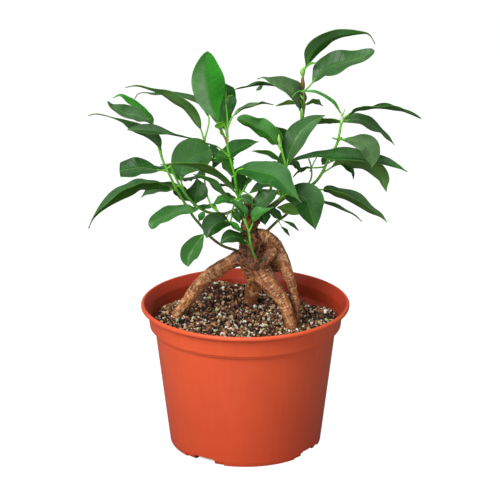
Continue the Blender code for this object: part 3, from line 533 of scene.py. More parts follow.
# %% Bed of potting mix
SOIL_LEVEL = 96.0
SOIL_FORMS = (  # centre x, centre y, spread and rise of each heap or hollow
    (-22, 52, 17, 11),
    (4, 64, 22, 4),
    (-50, 18, 16, 2),
    (48, 46, 18, -3),
    (62, 12, 10, 4),
    (-4, -44, 34, 3),
)
BED_SIDES = 380
BED_RINGS = 112
INNERMOST = 0.004  # the last ring's share of the radius
CLEARANCE = 0.35  # between the bed and the pot


def soil_height(x, y):
    """The level, plus a round heap or hollow exp(-r^2 / spread^2) at each of the soil's forms, and two
    low ripples that cross each other."""
    z = np.full(np.shape(x), SOIL_LEVEL)
    for cx, cy, spread, rise in SOIL_FORMS:
        z = z + rise * np.exp(-((x - cx) ** 2 + (y - cy) ** 2) / spread**2)
    return z + 0.7 * np.sin(x * 0.55 + 1) * np.sin(y * 0.5) + 0.5 * np.sin(x * 0.23 - y * 0.31)


turns = np.arange(BED_SIDES) * math.tau / BED_SIDES
share, turn = np.meshgrid(np.linspace(1, INNERMOST, BED_RINGS), turns, indexing="ij")
rough = (inner_radius(SOIL_LEVEL) - CLEARANCE) * share
level = soil_height(rough * np.cos(turn), rough * np.sin(turn))
radius = (inner_radius(level) - CLEARANCE) * share
top = np.stack([radius * np.cos(turn), radius * np.sin(turn), level], -1).reshape(-1, 3)
crumb = 0.8 * noise(top, 3.4, 1) + 0.85 * noise(top, 1.5, 2) + 0.5 * noise(top, 0.8, 3)
top[:, 2] += crumb - 0.4
skirt = []
for z, inset in ((FLOOR_TOP + CLEARANCE, 2.5), (40.0, CLEARANCE), (COLLAR_BOTTOM - 2.6, CLEARANCE)):
    r = inner_radius(z) - inset
    skirt.append(np.stack([r * np.cos(turns), r * np.sin(turns), np.full(BED_SIDES, z)], -1))
bed = add_rings("potting_mix_bed", np.concatenate([*skirt, top]), BED_SIDES)
set_attribute(bed, "hollow", np.concatenate([np.zeros(len(skirt) * BED_SIDES), crumb]))
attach(bed, "root")
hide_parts("soil")
print("bed:", len(bed.data.polygons), "faces, top at", *np.round((top[:, 2].min(), top[:, 2].max()), 1), "mm")

# %% [markdown]
# The loose crumbs, chips and perlite grains on top are what the eye takes for soil. Each is a small
# twenty-sided stone with its corners pushed about and its three axes stretched. Thousands of them
# are quick to make, because all the corners are worked out at once. A colour is stored with each.

# %% Loose grains
golden = (1 + math.sqrt(5)) / 2
STONE = unit(np.array([  # the twelve corners of an icosahedron
    (-1, golden, 0), (1, golden, 0), (-1, -golden, 0), (1, -golden, 0), (0, -1, golden), (0, 1, golden),
    (0, -1, -golden), (0, 1, -golden), (golden, 0, -1), (golden, 0, 1), (-golden, 0, -1), (-golden, 0, 1),
]))
STONE_FACES = np.array([
    (0, 11, 5), (0, 5, 1), (0, 1, 7), (0, 7, 10), (0, 10, 11), (1, 5, 9), (5, 11, 4), (11, 10, 2), (10, 7, 6),
    (7, 1, 8), (3, 9, 4), (3, 4, 2), (3, 2, 6), (3, 6, 8), (3, 8, 9), (4, 9, 5), (2, 4, 11), (6, 2, 10),
    (8, 6, 7), (9, 8, 1),
])
CORNERS = len(STONE)
KNOCK = 0.42  # how far a corner may move, as a share of the radius
ABOUT_INSIDE = 71  # mm, near the pot's inner radius at the soil


def random_turns(chance, count):
    """Random rotation matrices, from four normal numbers read as a quaternion."""
    w, x, y, z = unit(chance.normal(size=(count, 4))).T
    return np.stack([
        np.stack([1 - 2 * (y * y + z * z), 2 * (x * y - w * z), 2 * (x * z + w * y)], -1),
        np.stack([2 * (x * y + w * z), 1 - 2 * (x * x + z * z), 2 * (y * z - w * x)], -1),
        np.stack([2 * (x * z - w * y), 2 * (y * z + w * x), 1 - 2 * (x * x + y * y)], -1),
    ], 1)


def scatter(name, count, smallest, largest, stretch, sunk, palette, seed):
    """Stones strewn over the bed: even over the round, sizes in mm more often small, colours from the
    palette. Each corner moves by a random share of the radius in all three directions, which makes a
    stone angular, and each axis is stretched by a random factor."""
    chance = np.random.default_rng(seed)
    around = chance.uniform(0, math.tau, count)
    out = np.sqrt(chance.uniform(0, 1, count))
    size = smallest + (largest - smallest) * chance.uniform(0, 1, count) ** 2
    x = out * np.cos(around)
    y = out * np.sin(around)
    reach = inner_radius(soil_height(x * ABOUT_INSIDE, y * ABOUT_INSIDE)) - CLEARANCE - size * 0.5
    x, y = x * reach, y * reach
    z = soil_height(x, y) + chance.uniform(-0.9, 0.7, count) + size * (0.5 - sunk)
    scale = size[:, None] / 2 * chance.uniform(1, stretch, (count, 3)) / stretch**0.5
    corners = (STONE[None] + chance.uniform(-KNOCK, KNOCK, (count, CORNERS, 3))) * scale[:, None]
    corners = np.einsum("nij,nkj->nki", random_turns(chance, count), corners)
    corners += np.stack([x, y, z], -1)[:, None]
    faces = (STONE_FACES[None] + CORNERS * np.arange(count)[:, None, None]).reshape(-1, 3)
    grains = add_piece(name, corners.reshape(-1, 3), faces, smooth=False)
    colours = np.array([srgb(*entry[:3]) for entry in palette])
    odds = np.array([entry[3] for entry in palette], float)
    pick = chance.choice(len(palette), count, p=odds / odds.sum())
    tint = colours[pick] * chance.uniform(0.75, 1.25, (count, 1))
    set_attribute(grains, "tint", np.repeat(tint, CORNERS, axis=0))
    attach(grains, "root")
    print(name, len(faces), "faces")
    return grains


# Each palette entry: red, green, blue as a screen shows them, and how often it comes.
CRUMB_COLOURS = (
    (80, 49, 33, 5), (128, 82, 54, 5), (176, 120, 80, 4), (216, 164, 120, 3), (28, 18, 14, 8),
    (250, 216, 172, 1), (142, 130, 82, 1),
)
PERLITE_COLOURS = ((250, 248, 240, 6), (228, 226, 208, 3), (200, 216, 150, 3), (236, 214, 186, 2))
CHIP_COLOURS = ((168, 126, 86, 3), (96, 62, 40, 3), (200, 164, 120, 1))
crumbs = scatter("soil_crumbs", 9000, 0.8, 2.4, 1.9, 0.05, CRUMB_COLOURS, 11)
perlite = scatter("perlite_grains", 760, 0.8, 2.7, 1.6, -0.1, PERLITE_COLOURS, 12)
chips = scatter("bark_chips", 300, 1.4, 2.8, 3.4, 0.1, CHIP_COLOURS, 13)

# %% [markdown]
# Soil reads as soil through strong contrast: black gaps between crumbs that catch the light. The bed
# is darkened with painted shade where its noise dips, and each grain takes its own colour with a
# fine mottle on it.

# %% Soil finishes
finish, tree, shader = new_finish("damp_peat_bed", 0.95)
# Painted shade: nearly black where the bed's noise dips between crumbs.
colour = mixed(tree, ramp(tree, stored(tree, "hollow"), -0.6, 1.0), srgb(16, 10, 8), srgb(120, 80, 56))
colour = mixed(tree, patch_mask(tree, 520.0, 0.12), colour, srgb(48, 31, 23))
link(tree, colour, shader, "Base Color")
bump(tree, grain_height(tree, 1400.0, 0.9), shader, 0.0005)
bed.data.materials.append(finish)

finish, tree, shader = new_finish("soil_grains", 0.9)
tint = stored(tree, "tint", "Color")
colour = mixed(tree, patch_mask(tree, 900.0, 0.15), tint, (0.35, 0.3, 0.27), "MULTIPLY")
colour = mixed(tree, 0.35, tint, colour)
link(tree, colour, shader, "Base Color")
bump(tree, grain_height(tree, 2600.0, 0.9), shader, 0.0002)
for grains in (crumbs, perlite, chips):
    grains.data.materials.append(finish)
print("soil finishes done")

# %% [markdown]
# The swollen roots are what a ginseng ficus is grown for. Each root is given as a middle line with a
# radius at every point, in whole millimetres where that is enough. The tubes made from them are later
# welded into one skin, which rounds the places where they meet as growing wood does.

# %% Roots
ROOTS = {  # x, y, z and radius along each root's middle
    "neck": (
        (4, -1, 195, 4.2), (3, -1, 189, 5.0), (3, -1, 180, 5.8), (3, 0, 171, 6.4),
        (4, 0, 163, 8.0), (5, 1, 153, 9.4), (6, 2, 145, 10.2), (8, 2, 137, 9.6), (11, 0, 131, 7.6),
    ),
    "left": (
        (0, 2, 149, 6.6), (-8, 4, 145, 5.5), (-17, 6, 139, 5.4), (-27, 8, 131, 5.4),
        (-37, 9, 121, 5.2), (-45, 8, 110, 4.6), (-52, 7, 101, 4.2), (-57, 6, 93, 3.6), (-59, 5, 84, 2.6),
    ),
    "right_front": (
        (9, -2, 147, 7.0), (13, -6, 138, 7.6), (19, -11, 130, 6.8), (26, -14, 122, 5.4),
        (31, -17, 113, 4.7), (34, -18, 104, 4.2), (36, -19, 96, 3.7), (38, -19, 86, 2.8),
    ),
    "right_back": (
        (8, 2, 167, 5.0), (15, 4, 161, 7.4), (22, 5, 155, 6.8), (28, 4, 146, 5.2), (32, 3, 136, 4.5),
        (35, 1, 126, 3.9), (38, -1, 115, 3.4), (39, -3, 106, 3.0), (40, -4, 97, 2.4), (41, -4, 88, 2.0),
    ),
    "middle_back": (
        (8, 8, 144, 8.0), (8, 17, 132, 7.0), (7, 26, 119, 6.0), (5, 33, 108, 5.4),
        (4, 38, 98, 4.6), (3, 42, 88, 3.4),
    ),
    "back_lobe": ((15, 8, 152, 7.0), (20, 14, 144, 6.6), (23, 19, 136, 5.2), (24, 22, 131, 3.0)),
    "band": ((0, -7, 147, 3.6), (8, -9, 146, 4.6), (16, -7, 150, 4.4), (23, -3, 156, 3.6)),
}
print("roots:", list(ROOTS))

# %% [markdown]
# Roots, stems, leaf stalks and buds are all tubes. A smooth curve through the given points carries
# rings along it. Each ring takes its direction from the one before, turned only as much as the path
# turns, so that the tube doesn't twist where the path bends.

# %% Tubes
ROOT_SIDES = 40
ROOT_ROWS = 14  # for each point that a root is given by
SKY = np.array((0.0, 0.0, 1.0))
PLUS_X = np.array((1.0, 0.0, 0.0))


def smooth_curve(points, count):
    """Points at nearly even steps along a smooth curve. Each stretch is a cubic, and the slope at a
    point is a mean of the slopes of the two stretches beside it, in which the shorter counts more."""
    knots = np.array(points, float)
    lengths = np.linalg.norm(np.diff(knots[:, :3], axis=0), axis=1)
    at = np.concatenate([[0.0], np.cumsum(lengths)])
    slopes = np.gradient(knots, at, axis=0)
    where = np.linspace(0.0, at[-1], count)
    i = np.clip(np.searchsorted(at, where, side="right") - 1, 0, len(lengths) - 1)
    step = lengths[i][:, None]
    t = (where - at[i])[:, None] / step
    return (
        knots[i] * (1 + 2 * t) * (1 - t) ** 2
        + knots[i + 1] * t**2 * (3 - 2 * t)
        + slopes[i] * step * t * (1 - t) ** 2
        + slopes[i + 1] * step * t**2 * (t - 1)
    )


def across(vectors, tangents):
    """The part of each vector that is square to its tangent, at length one."""
    return unit(vectors - (vectors * tangents).sum(-1, keepdims=True) * tangents)


def ring_frames(path):
    """Two directions square to the path at each point, carried along it without spinning."""
    tangents = unit(np.gradient(path, axis=0))
    start = PLUS_X if abs(tangents[0] @ PLUS_X) < 0.9 else SKY
    first = [across(start, tangents[0])]
    for tangent in tangents[1:]:
        first.append(across(first[-1], tangent))
    first = np.array(first)
    return first, np.cross(tangents, first)


def tube_rings(path, radii, sides):
    """Rings of points: path + radius * (cos a * first + sin a * second)."""
    first, second = ring_frames(path)
    a = np.arange(sides) * math.tau / sides
    spokes = np.cos(a)[None, :, None] * first[:, None] + np.sin(a)[None, :, None] * second[:, None]
    return path[:, None] + np.reshape(radii, (len(path), -1))[..., None] * spokes


def joined(surfaces):
    """Points and faces of many ring surfaces as one mesh, with the end faces."""
    points, faces, ends, count = [], [], [], 0
    for rings in surfaces:
        points.append(rings.reshape(-1, 3))
        faces.append(ring_faces(*rings.shape[:2]) + count)
        ends += [tuple(i + count for i in cap) for cap in ring_caps(*rings.shape[:2])]
        count += rings.shape[0] * rings.shape[1]
    return np.concatenate(points), np.concatenate(faces), ends


def root_line(name):
    """One root's middle line in steps of less than a millimetre: x, y, z and radius."""
    return smooth_curve(ROOTS[name], ROOT_ROWS * len(ROOTS[name]))


def distance_along(path):
    """How far along the path each of its points is."""
    return np.concatenate([[0], np.cumsum(np.linalg.norm(np.diff(path, axis=0), axis=1))])


print("root lengths in mm:", [round(distance_along(root_line(name)[:, :3])[-1]) for name in ROOTS])


# %% [markdown]
# Where a shoot leaves the trunk the bark swells into a short collar. The collars belong to the
# trunk, as in the CAD, so the list of stems comes before the trunk. A stem is a line of points with
# a radius at its foot and at its tip.

# %% Stems
STEMS = {  # radius at the foot, radius at the tip, and the middle line of each stem
    "shoot_centre": (
        (1.1, 0.8, ((1, -9, 187), (-2, -10, 193), (-5, -12, 200), (-8, -17, 219), (-12, -20, 236),
                    (-14, -21, 246), (-17, -21, 253), (-18, -23, 257))),
        (0.8, 0.6, ((-13, -21, 242), (-13, -20, 250), (-13, -20, 262), (-14, -20, 273))),
    ),
    "shoot_middle": (
        (1.2, 0.8, ((9, -7, 184), (14, -8, 188), (20, -9, 193), (27, -12, 200), (30, -16, 214),
                    (30, -18, 226), (28, -20, 235), (26, -21, 244))),
        (1.3, 0.5, ((26, -21, 241), (26, -21, 246), (25, -22, 250))),
    ),
    "shoot_right": (
        (1.4, 0.8, ((14, 3, 180), (20, 6, 185), (27, 8, 191), (38, 8, 198), (47, 6, 202), (53, 4, 207),
                    (58, 2, 215), (63, 1, 227), (68, -2, 237), (71, -4, 252), (72, -5, 262))),
        (0.7, 0.6, ((45, 6, 201), (50, 11, 208), (50, 12, 216), (48, 12, 223))),
        (0.5, 0.4, ((49, 11, 213), (51, 12, 218), (54, 12, 224))),
        (0.8, 0.6, ((72, -2, 243), (70, -4, 243), (68, -5, 243), (65, -6, 244))),
        (0.5, 0.3, ((72, -5, 259), (73, -5, 263), (74, -5, 266))),
    ),
    "shoot_high_right": (
        (1.1, 0.7, ((18, 9, 168), (25, 12, 174), (32, 14, 179), (35, 16, 185), (34, 18, 192), (31, 20, 200),
                    (30, 20, 210), (33, 20, 222), (37, 20, 235), (42, 19, 246), (44, 18, 259), (44, 17, 273),
                    (43, 15, 285), (44, 14, 291))),
    ),
    "shoot_left": (
        (1.2, 0.8, ((-5, 3, 186), (-10, 4, 184), (-15, 4, 182), (-21, 4, 182), (-27, 3, 183), (-33, 2, 186),
                    (-39, 1, 191), (-46, 0, 200), (-53, -2, 214), (-56, -4, 222))),
        (0.8, 0.6, ((-19, 4, 182), (-25, 9, 186), (-30, 14, 197), (-31, 18, 210), (-31, 20, 222),
                    (-31, 22, 236))),
    ),
    "shoot_left_front": (
        (1.1, 0.8, ((-7, -3, 155), (-16, -6, 159), (-26, -8, 167), (-33, -9, 176), (-39, -10, 184),
                    (-45, -13, 195), (-51, -17, 207), (-55, -20, 217), (-60, -22, 229), (-63, -23, 239),
                    (-67, -23, 255))),
    ),
    "shoot_front": (
        (1.0, 0.8, ((8, -16, 153), (6, -18, 158), (4, -19, 166), (3, -20, 174), (1, -21, 181),
                    (-1, -22, 186))),
    ),
    "shoot_back": (
        (1.6, 0.9, ((8, 12, 172), (10, 18, 176), (14, 28, 181), (18, 40, 185), (20, 52, 189), (20, 62, 194))),
    ),
}
COLLARS = {  # the point inside the trunk that each shoot's collar grows from
    "shoot_centre": (3, -2, 182),
    "shoot_middle": (4, -1, 178),
    "shoot_right": (6, 1, 172),
    "shoot_high_right": (12, 4, 161),
    "shoot_left": (3, 0, 181),
    "shoot_left_front": (2, 0, 150),
    "shoot_front": (8, -5, 149),
    "shoot_back": (6, 3, 166),
}
print("stems:", sum(len(stems) for stems in STEMS.values()))

# %% [markdown]
# The tubes of the roots and collars overlap. A voxel remesh lays one skin round them all, and a light
# smoothing takes its steps away. The skin is made here once, instead of being left to a live
# modifier, because the bark is pushed out of its own vertices in the next steps.

# %% Trunk skin
VOXEL = 0.62
SWELL = 0.06  # how unevenly thick a root is
COLLAR_ROWS = 12
COLLAR_SIDES = 24
tubes = []
for name in ROOTS:
    line = root_line(name)
    swell = 1 + SWELL * noise(line[:, :3], 6.0, 5)
    tubes.append(tube_rings(line[:, :3], line[:, 3] * swell, ROOT_SIDES))
for shoot, inside in COLLARS.items():
    radius = STEMS[shoot][0][0]
    foot, following = np.array(STEMS[shoot][0][2][:2], float)
    path = smooth_curve([inside, foot - 1.5 * unit(following - foot), foot], COLLAR_ROWS)
    tubes.append(tube_rings(path, np.linspace(radius + 1.3, radius + 0.15, COLLAR_ROWS), COLLAR_SIDES))
trunk = add_piece("rooted_trunk", *joined(tubes))
weld = trunk.modifiers.new("weld", "REMESH")
weld.mode = "VOXEL"
weld.voxel_size = VOXEL * MM
relax = trunk.modifiers.new("relax", "SMOOTH")
relax.factor = 0.5
relax.iterations = 5
apply_modifiers(trunk)

where = np.empty(len(trunk.data.vertices) * 3, np.float32)
outward = np.empty(len(trunk.data.vertices) * 3, np.float32)
trunk.data.vertices.foreach_get("co", where)
trunk.data.vertex_normals.foreach_get("vector", outward)
where = where.reshape(-1, 3).astype(float) / MM
outward = outward.reshape(-1, 3).astype(float)
print("trunk skin:", len(where), "vertices")

# %% [markdown]
# Every vertex of the skin has to know which root it belongs to. Its distance from a root's middle
# line, less the root's radius there, is smallest for the root whose skin it lies on. The vertices
# are compared with the lines in blocks, because one table of all the distances would be very large.

# %% Nearest root
KNOT_CENTRE = np.array((7, -1, 150))
KNOT_REACH = 17


def nearest_root(points):
    """For each point, the number of the nearest root, the distance along it in mm, and the cosine
    and sine of the angle around it. Nearest is by distance from the root's skin."""
    lines = [root_line(name) for name in ROOTS]
    middle = np.concatenate(lines)
    frames = [ring_frames(line[:, :3]) for line in lines]
    first, second = (np.concatenate(parts) for parts in zip(*frames))
    along = np.concatenate([distance_along(line[:, :3]) for line in lines])
    which = np.repeat(np.arange(len(lines)), [len(line) for line in lines])
    picks = [
        (np.linalg.norm(block[:, None] - middle[None, :, :3], axis=2) - middle[None, :, 3]).argmin(axis=1)
        for block in np.array_split(points, 40)
    ]
    pick = np.concatenate(picks)
    spoke = unit(points - middle[pick, :3])
    return which[pick], along[pick], (spoke * first[pick]).sum(1), (spoke * second[pick]).sum(1)


which, along, cosine, sine = nearest_root(where)
knot = np.exp(-((np.linalg.norm(where - KNOT_CENTRE, axis=1) / KNOT_REACH) ** 4))
neck = (which == list(ROOTS).index("neck")) * np.clip((where[:, 2] - 150) / 12, 0, 1)
rough = np.clip(knot + 0.8 * neck, 0, 1)
print("rough bark on", int((rough > 0.5).sum()), "vertices")

# %% [markdown]
# The relief is a sum of simple heights in millimetres: broad lumps, fibres that are long along the
# root and narrow around it, thin raised rings at uneven distances, and a ridged noise on the crown.
# Ridged noise is one minus the size of ordinary noise, which turns its zero lines into sharp crests.
# The last two numbers of each noise are the size of its lumps and its seed.

# %% Bark relief
CUT_HEIGHT = 194.2  # the neck was sawn off here
RING_WIDTH = 0.16
round_place = np.stack([cosine * 5, sine * 5, along * 0.22 + 40 * which], 1)
fibres = noise(round_place, 1.1, 21) + 0.6 * noise(round_place, 0.55, 22)
ring_place = np.stack([cosine * 1.1, sine * 1.1, along + 60 * which], 1)
ring_wander = noise(ring_place, 2.6, 23) + 0.35 * noise(ring_place, 1.1, 24)
patch_place = np.stack([cosine * 3, sine * 3, along * 0.35 + 30 * which], 1)
ring_patch = np.clip(0.5 + 1.6 * noise(patch_place, 1.6, 25), 0, 1)
rings = np.clip(1 - np.abs(ring_wander) / RING_WIDTH, 0, 1) * ring_patch * (1 - rough)
ridges = 1 - np.abs(noise(where, 3.1, 26))
crumbs_up = ridges**2 + 0.6 * (1 - np.abs(noise(where, 1.5, 27))) ** 2 + 0.3 * noise(where, 0.8, 28)
lumps = noise(where, 9.0, 29)
relief = (
    0.5 * lumps
    + (0.16 + 0.34 * neck) * fibres
    + 0.26 * rings
    + rough * 1.45 * (crumbs_up - 0.95)
    + 0.16 * noise(where, 1.3, 30)
)
cut_top = where[:, 2] > CUT_HEIGHT
relief = np.where(cut_top, 0.15 * noise(where, 1.0, 31), relief)
moved = where + outward * relief[:, None]
trunk.data.vertices.foreach_set("co", (moved * MM).astype(np.float32).ravel())
trunk.data.update()
trunk.data.shade_smooth()
set_attribute(trunk, "bark_place", round_place)
set_attribute(trunk, "ring_scar", rings)
set_attribute(trunk, "rough", rough)
set_attribute(trunk, "hollow", np.where(cut_top, 1.0, crumbs_up - 1.0))
set_attribute(trunk, "cut_wood", cut_top)
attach(trunk, "root")
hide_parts("root_trunk")
print("relief from", round(relief.min(), 2), "to", round(relief.max(), 2), "mm")

# %% [markdown]
# Root bark is a warm brown that goes darker and redder on the old crown. Fibres make it streaky,
# short dark and pale dashes lie across it, ring scars are pale and corky, and the crown's hollows are
# nearly black. The patterns follow the roots because they read the place along and around the root
# that was stored with the mesh.

# %% Bark finish
finish, tree, shader = new_finish("ficus_bark", 0.36)
place = stored(tree, "bark_place", "Vector")
streak = noise_map(tree, place, 0.55, 5.0, Roughness=0.65)
young = mixed(tree, ramp(tree, streak, 0.38, 0.62), srgb(104, 52, 25), srgb(210, 140, 82))
young = mixed(tree, ramp(tree, patch_mask(tree, 90.0, 0.15), 0, 1, 0, 0.5), young, srgb(150, 82, 44))
crack = noise_map(tree, place, 1.3, 3.0)
young = mixed(tree, ramp(tree, crack, 0.34, 0.41, 0.7, 0.0), young, srgb(50, 24, 12))
dash_place = put(tree, "Mapping", place, Scale=(0.4, 0.4, 8.0)).outputs[0]
dash = noise_map(tree, dash_place, 0.6, 2.0)
young = mixed(tree, ramp(tree, dash, 0.33, 0.38, 0.75, 0.0), young, srgb(48, 24, 13))
young = mixed(tree, ramp(tree, dash, 0.61, 0.65, 0.0, 0.85), young, srgb(240, 202, 150))
crown = mixed(tree, ramp(tree, stored(tree, "hollow"), -0.3, 0.7), srgb(34, 16, 8), srgb(176, 104, 54))
crown = mixed(tree, ramp(tree, patch_mask(tree, 160.0, 0.12), 0, 1, 0, 0.4), crown, srgb(98, 58, 34))
colour = mixed(tree, ramp(tree, stored(tree, "rough"), 0.15, 0.85), young, crown)
colour = mixed(tree, ramp(tree, stored(tree, "ring_scar"), 0.1, 0.7, 0, 0.8), colour, srgb(232, 184, 130))
specks = ramp(tree, noise_map(tree, place, 2.4, 2.0), 0.66, 0.72)
colour = tinted(tree, colour, specks, 0.55, srgb(208, 170, 120))
colour = mixed(tree, stored(tree, "cut_wood"), colour, srgb(206, 172, 120))
link(tree, colour, shader, "Base Color")
height = plus(tree, times(tree, streak, 0.8), times(tree, dash, 1.2))
height = plus(tree, height, grain_height(tree, 1500.0, 0.6))
bump(tree, height, shader, 0.0005, 0.9)
trunk.data.materials.clear()
trunk.data.materials.append(finish)
print("finish:", finish.name)

# %% [markdown]
# A fig leaf is a flat thing with a great deal of shape: it folds along the midrib, its margin
# ripples, its face buckles, its tip is drawn out, and it turns as it leaves the stem. One function
# gives all of them. Its surface has two parameters, the distance along the rib and the distance
# across. The numbers that differ from leaf to leaf stand in a table, and its lengths and angles are
# nearly all in whole millimetres and degrees.

# %% Leaf form
BLADE = 0.7  # thickness
ROWS = 46
COLUMNS = 16
VIEW_TILT = math.radians(18)
VIEWER = np.array((0.0, -math.cos(VIEW_TILT), math.sin(VIEW_TILT)))
WAVES_ALONG = 2.2
BUCKLE = 0.5  # height of the slow dents in the blade
VEIN_SWELL = 0.16  # height of the low swells that slant as the side veins do
GROOVE_WIDTH = 0.75
KEEL_ROUNDING = 0.012  # how soft the fold over the midrib is
KEEL_DROP = 0.11
SPREAD = 7  # rows over which a bend is averaged
BEND_SHARE = 0.85  # of a bend's radius that the half inside it may fill
BASE_HALF = 0.7  # mm, the least half width at the base and at the tip
TIP_HALF = 0.35


@dataclass(frozen=True)
class Leaf:
    """One leaf. Its points run from the stem along the petiole to the blade's base, then to the tip.

    turn is how far the upper face is rolled about the rib: 0 faces the viewer, 90 the sky (or +X
    on an upright leaf), and more than 90 shows the viewer the underside. fold is how far each
    half rises from flat, and twist turns the tip against the base. All three are in degrees.
    broad is where the blade is widest, as a share of its length. A larger drip draws the tip out
    more finely and a negative one makes it blunt, and neck does the same for the base. wave is the
    height of the margin's ripple, which is less on a leaf narrower than 15 mm. The last field is a
    painted sheen: how pale the half to the left of the rib is painted, seen from the base, or the
    right half where it is negative. A leaf without one gets a small one from its width and turn.
    """

    name: str
    width: float
    turn: float
    tone: str
    points: tuple
    fold: float = 14.0
    twist: float = 0.0
    wave: float = 0.8
    broad: float = 0.48
    drip: float = 0.5
    neck: float = 0.0
    painted_sheen: float = 0.0


def width_along(leaf, s):
    """Half the width as a share of its widest: a sine bump moved to the broad place, raised to a
    power that changes from the base to the tip."""
    bump = np.sin(math.pi * s ** (math.log(0.5) / math.log(leaf.broad)))
    return np.maximum(bump, 0) ** (0.75 + leaf.drip * s + leaf.neck * (1 - s))


def blade_frame(leaf, rib):
    """Along, sideways and upper-face directions at each rib point."""
    along = unit(np.gradient(rib, axis=0))
    chord = unit(rib[-1] - rib[0])
    facing = across(VIEWER, chord)
    towards_sky = np.cross(facing, chord)
    if towards_sky @ (SKY + 0.2 * PLUS_X) < 0:
        towards_sky = -towards_sky
    turn = np.radians(leaf.turn + leaf.twist * np.linspace(-0.5, 0.5, len(rib)))[:, None]
    up = across(np.cos(turn) * facing + np.sin(turn) * towards_sky, along)
    return along, np.cross(up, along), up


def blade_rings(leaf):
    """A closed ring round the blade at each row: the upper face from margin to margin, then the
    under face back. Height over the rib is half * sin(fold) * |c| with a rounded keel, plus the
    ripple wave * sin(pi s) * sin(2.2 turns of s + c) * |c|^1.5, slow dents, a groove over the midrib
    and low swells that slant as the side veins do. Where the rib bends sideways, the half on the
    inside of the bend is kept narrower than the bend's radius, averaged over a few rows, because
    the rows would cross there. Two vectors go with each point: its place (across, along, one on the
    upper face) and its look (nearness to the margin, share of painted sheen)."""
    s = np.linspace(0, 1, ROWS + 1)
    rib = smooth_curve(leaf.points[1:], ROWS + 1)
    along, side, up = blade_frame(leaf, rib)
    bend = np.gradient(along, axis=0) / np.linalg.norm(np.gradient(rib, axis=0), axis=1)[:, None]
    inward = np.convolve((bend * side).sum(axis=1), np.ones(SPREAD) / SPREAD, mode="same")[:, None]
    half = np.maximum(leaf.width / 2 * width_along(leaf, s), BASE_HALF + (TIP_HALF - BASE_HALF) * s)
    rise = math.radians(leaf.fold)
    rib = rib - (half / 2 * math.sin(rise))[:, None] * up
    c = np.sin(np.linspace(-1, 1, COLUMNS + 1) * math.pi / 2)[None, :]
    s, half = s[:, None], half[:, None]
    keel = (np.sqrt(c**2 + KEEL_ROUNDING) - KEEL_DROP) / (math.sqrt(1 + KEEL_ROUNDING) - KEEL_DROP)
    height = half * math.sin(rise) * keel
    wave = leaf.wave * min(1.0, leaf.width / 15)
    height = height + wave * np.sin(math.pi * s) * np.sin(WAVES_ALONG * math.tau * s + c) * np.abs(c) ** 1.5
    along_mm = distance_along(rib)[:, None] + 0 * c
    across_mm = half * c
    room = BEND_SHARE / np.maximum(np.abs(inward), 0.01)
    narrowed = across_mm / (1 + (across_mm / room) ** 4) ** 0.25
    across_mm = np.where(inward * c > 0, narrowed, across_mm)
    buckle = np.sin(along_mm / 5.2 + leaf.turn) * np.cos(across_mm / 3.4 + leaf.width) * np.sin(math.pi * s)
    height = height + BUCKLE * min(1.0, leaf.width / 18) * buckle * np.abs(c)
    vein_phase = (along_mm - 0.55 * np.abs(across_mm)) / (2.2 + 0.2 * leaf.width)
    swell = np.sin(vein_phase * math.tau) * np.abs(c) * (1 - c**2) * np.sin(math.pi * s) ** 0.5
    height = height + VEIN_SWELL * swell
    groove = np.exp(-((across_mm / GROOVE_WIDTH) ** 2)) * np.clip(1.15 - s, 0, 1)
    flat = rib[:, None] + across_mm[..., None] * math.cos(rise) * side[:, None]
    thick = BLADE / 2 * (1 - 0.45 * c**2)
    upper = flat + (height + thick - 0.22 * groove)[..., None] * up[:, None]
    under = flat + (height - thick - 0.5 * groove)[..., None] * up[:, None]
    rings = np.concatenate([upper, under[:, ::-1]], axis=1)
    upper_place = np.stack([across_mm, along_mm, 0 * along_mm + 1], -1)
    under_place = np.stack([across_mm, along_mm, 0 * along_mm], -1)
    place = np.concatenate([upper_place, under_place[:, ::-1]], axis=1)
    # Painted sheen: a share that pales one half of the blade, fading towards the base and the tip.
    painted_sheen = leaf.painted_sheen or 0.1 * math.sin(7.0 * leaf.width + leaf.turn)
    sheen_share = abs(painted_sheen) * np.clip(np.sign(painted_sheen) * c * 5, 0, 1) * np.sin(math.pi * s**0.8)
    look = np.stack([np.abs(c) + 0 * s, sheen_share, 0 * sheen_share], -1)
    return rings, place, np.concatenate([look, look[:, ::-1]], axis=1)


print("one blade has", ROWS * 2 * (COLUMNS + 1), "faces")

# %% [markdown]
# Colours differ from leaf to leaf: new leaves are yellow-green, old ones are deep green, and some
# show the viewer their dull olive underside. Each tone names the colour of the upper face and of the
# under face.

# %% Leaf tones
TONES = {
    "night": (srgb(12, 54, 6), srgb(28, 68, 10)),
    "dark": (srgb(23, 74, 16), srgb(38, 89, 15)),
    "mid": (srgb(34, 94, 30), srgb(59, 101, 31)),
    "soft": (srgb(56, 110, 46), srgb(76, 112, 51)),
    "bright": (srgb(43, 114, 30), srgb(50, 114, 30)),
    "fresh": (srgb(47, 141, 33), srgb(59, 133, 28)),
    "lime": (srgb(90, 163, 33), srgb(97, 163, 39)),
    # grey, slate and silver are painted sheen: greyed greens that stand for light reflected off the leaves.
    "grey": (srgb(52, 91, 46), srgb(67, 99, 44)),
    "slate": (srgb(37, 72, 36), srgb(39, 72, 34)),
    "silver": (srgb(83, 114, 72), srgb(86, 114, 69)),
    "olive": (srgb(47, 87, 28), srgb(65, 101, 34)),
    "pale": (srgb(59, 129, 51), srgb(67, 125, 48)),
    "moss": (srgb(83, 129, 39), srgb(94, 133, 46)),
}
LEAVES = {}
print("tones:", list(TONES))

# %% [markdown]
# The centre shoot carries the crown: a tall upright leaf with a small bright one at its foot, and
# lower down the large leaf that faces the viewer. Its long thin leaves reach out to the left.

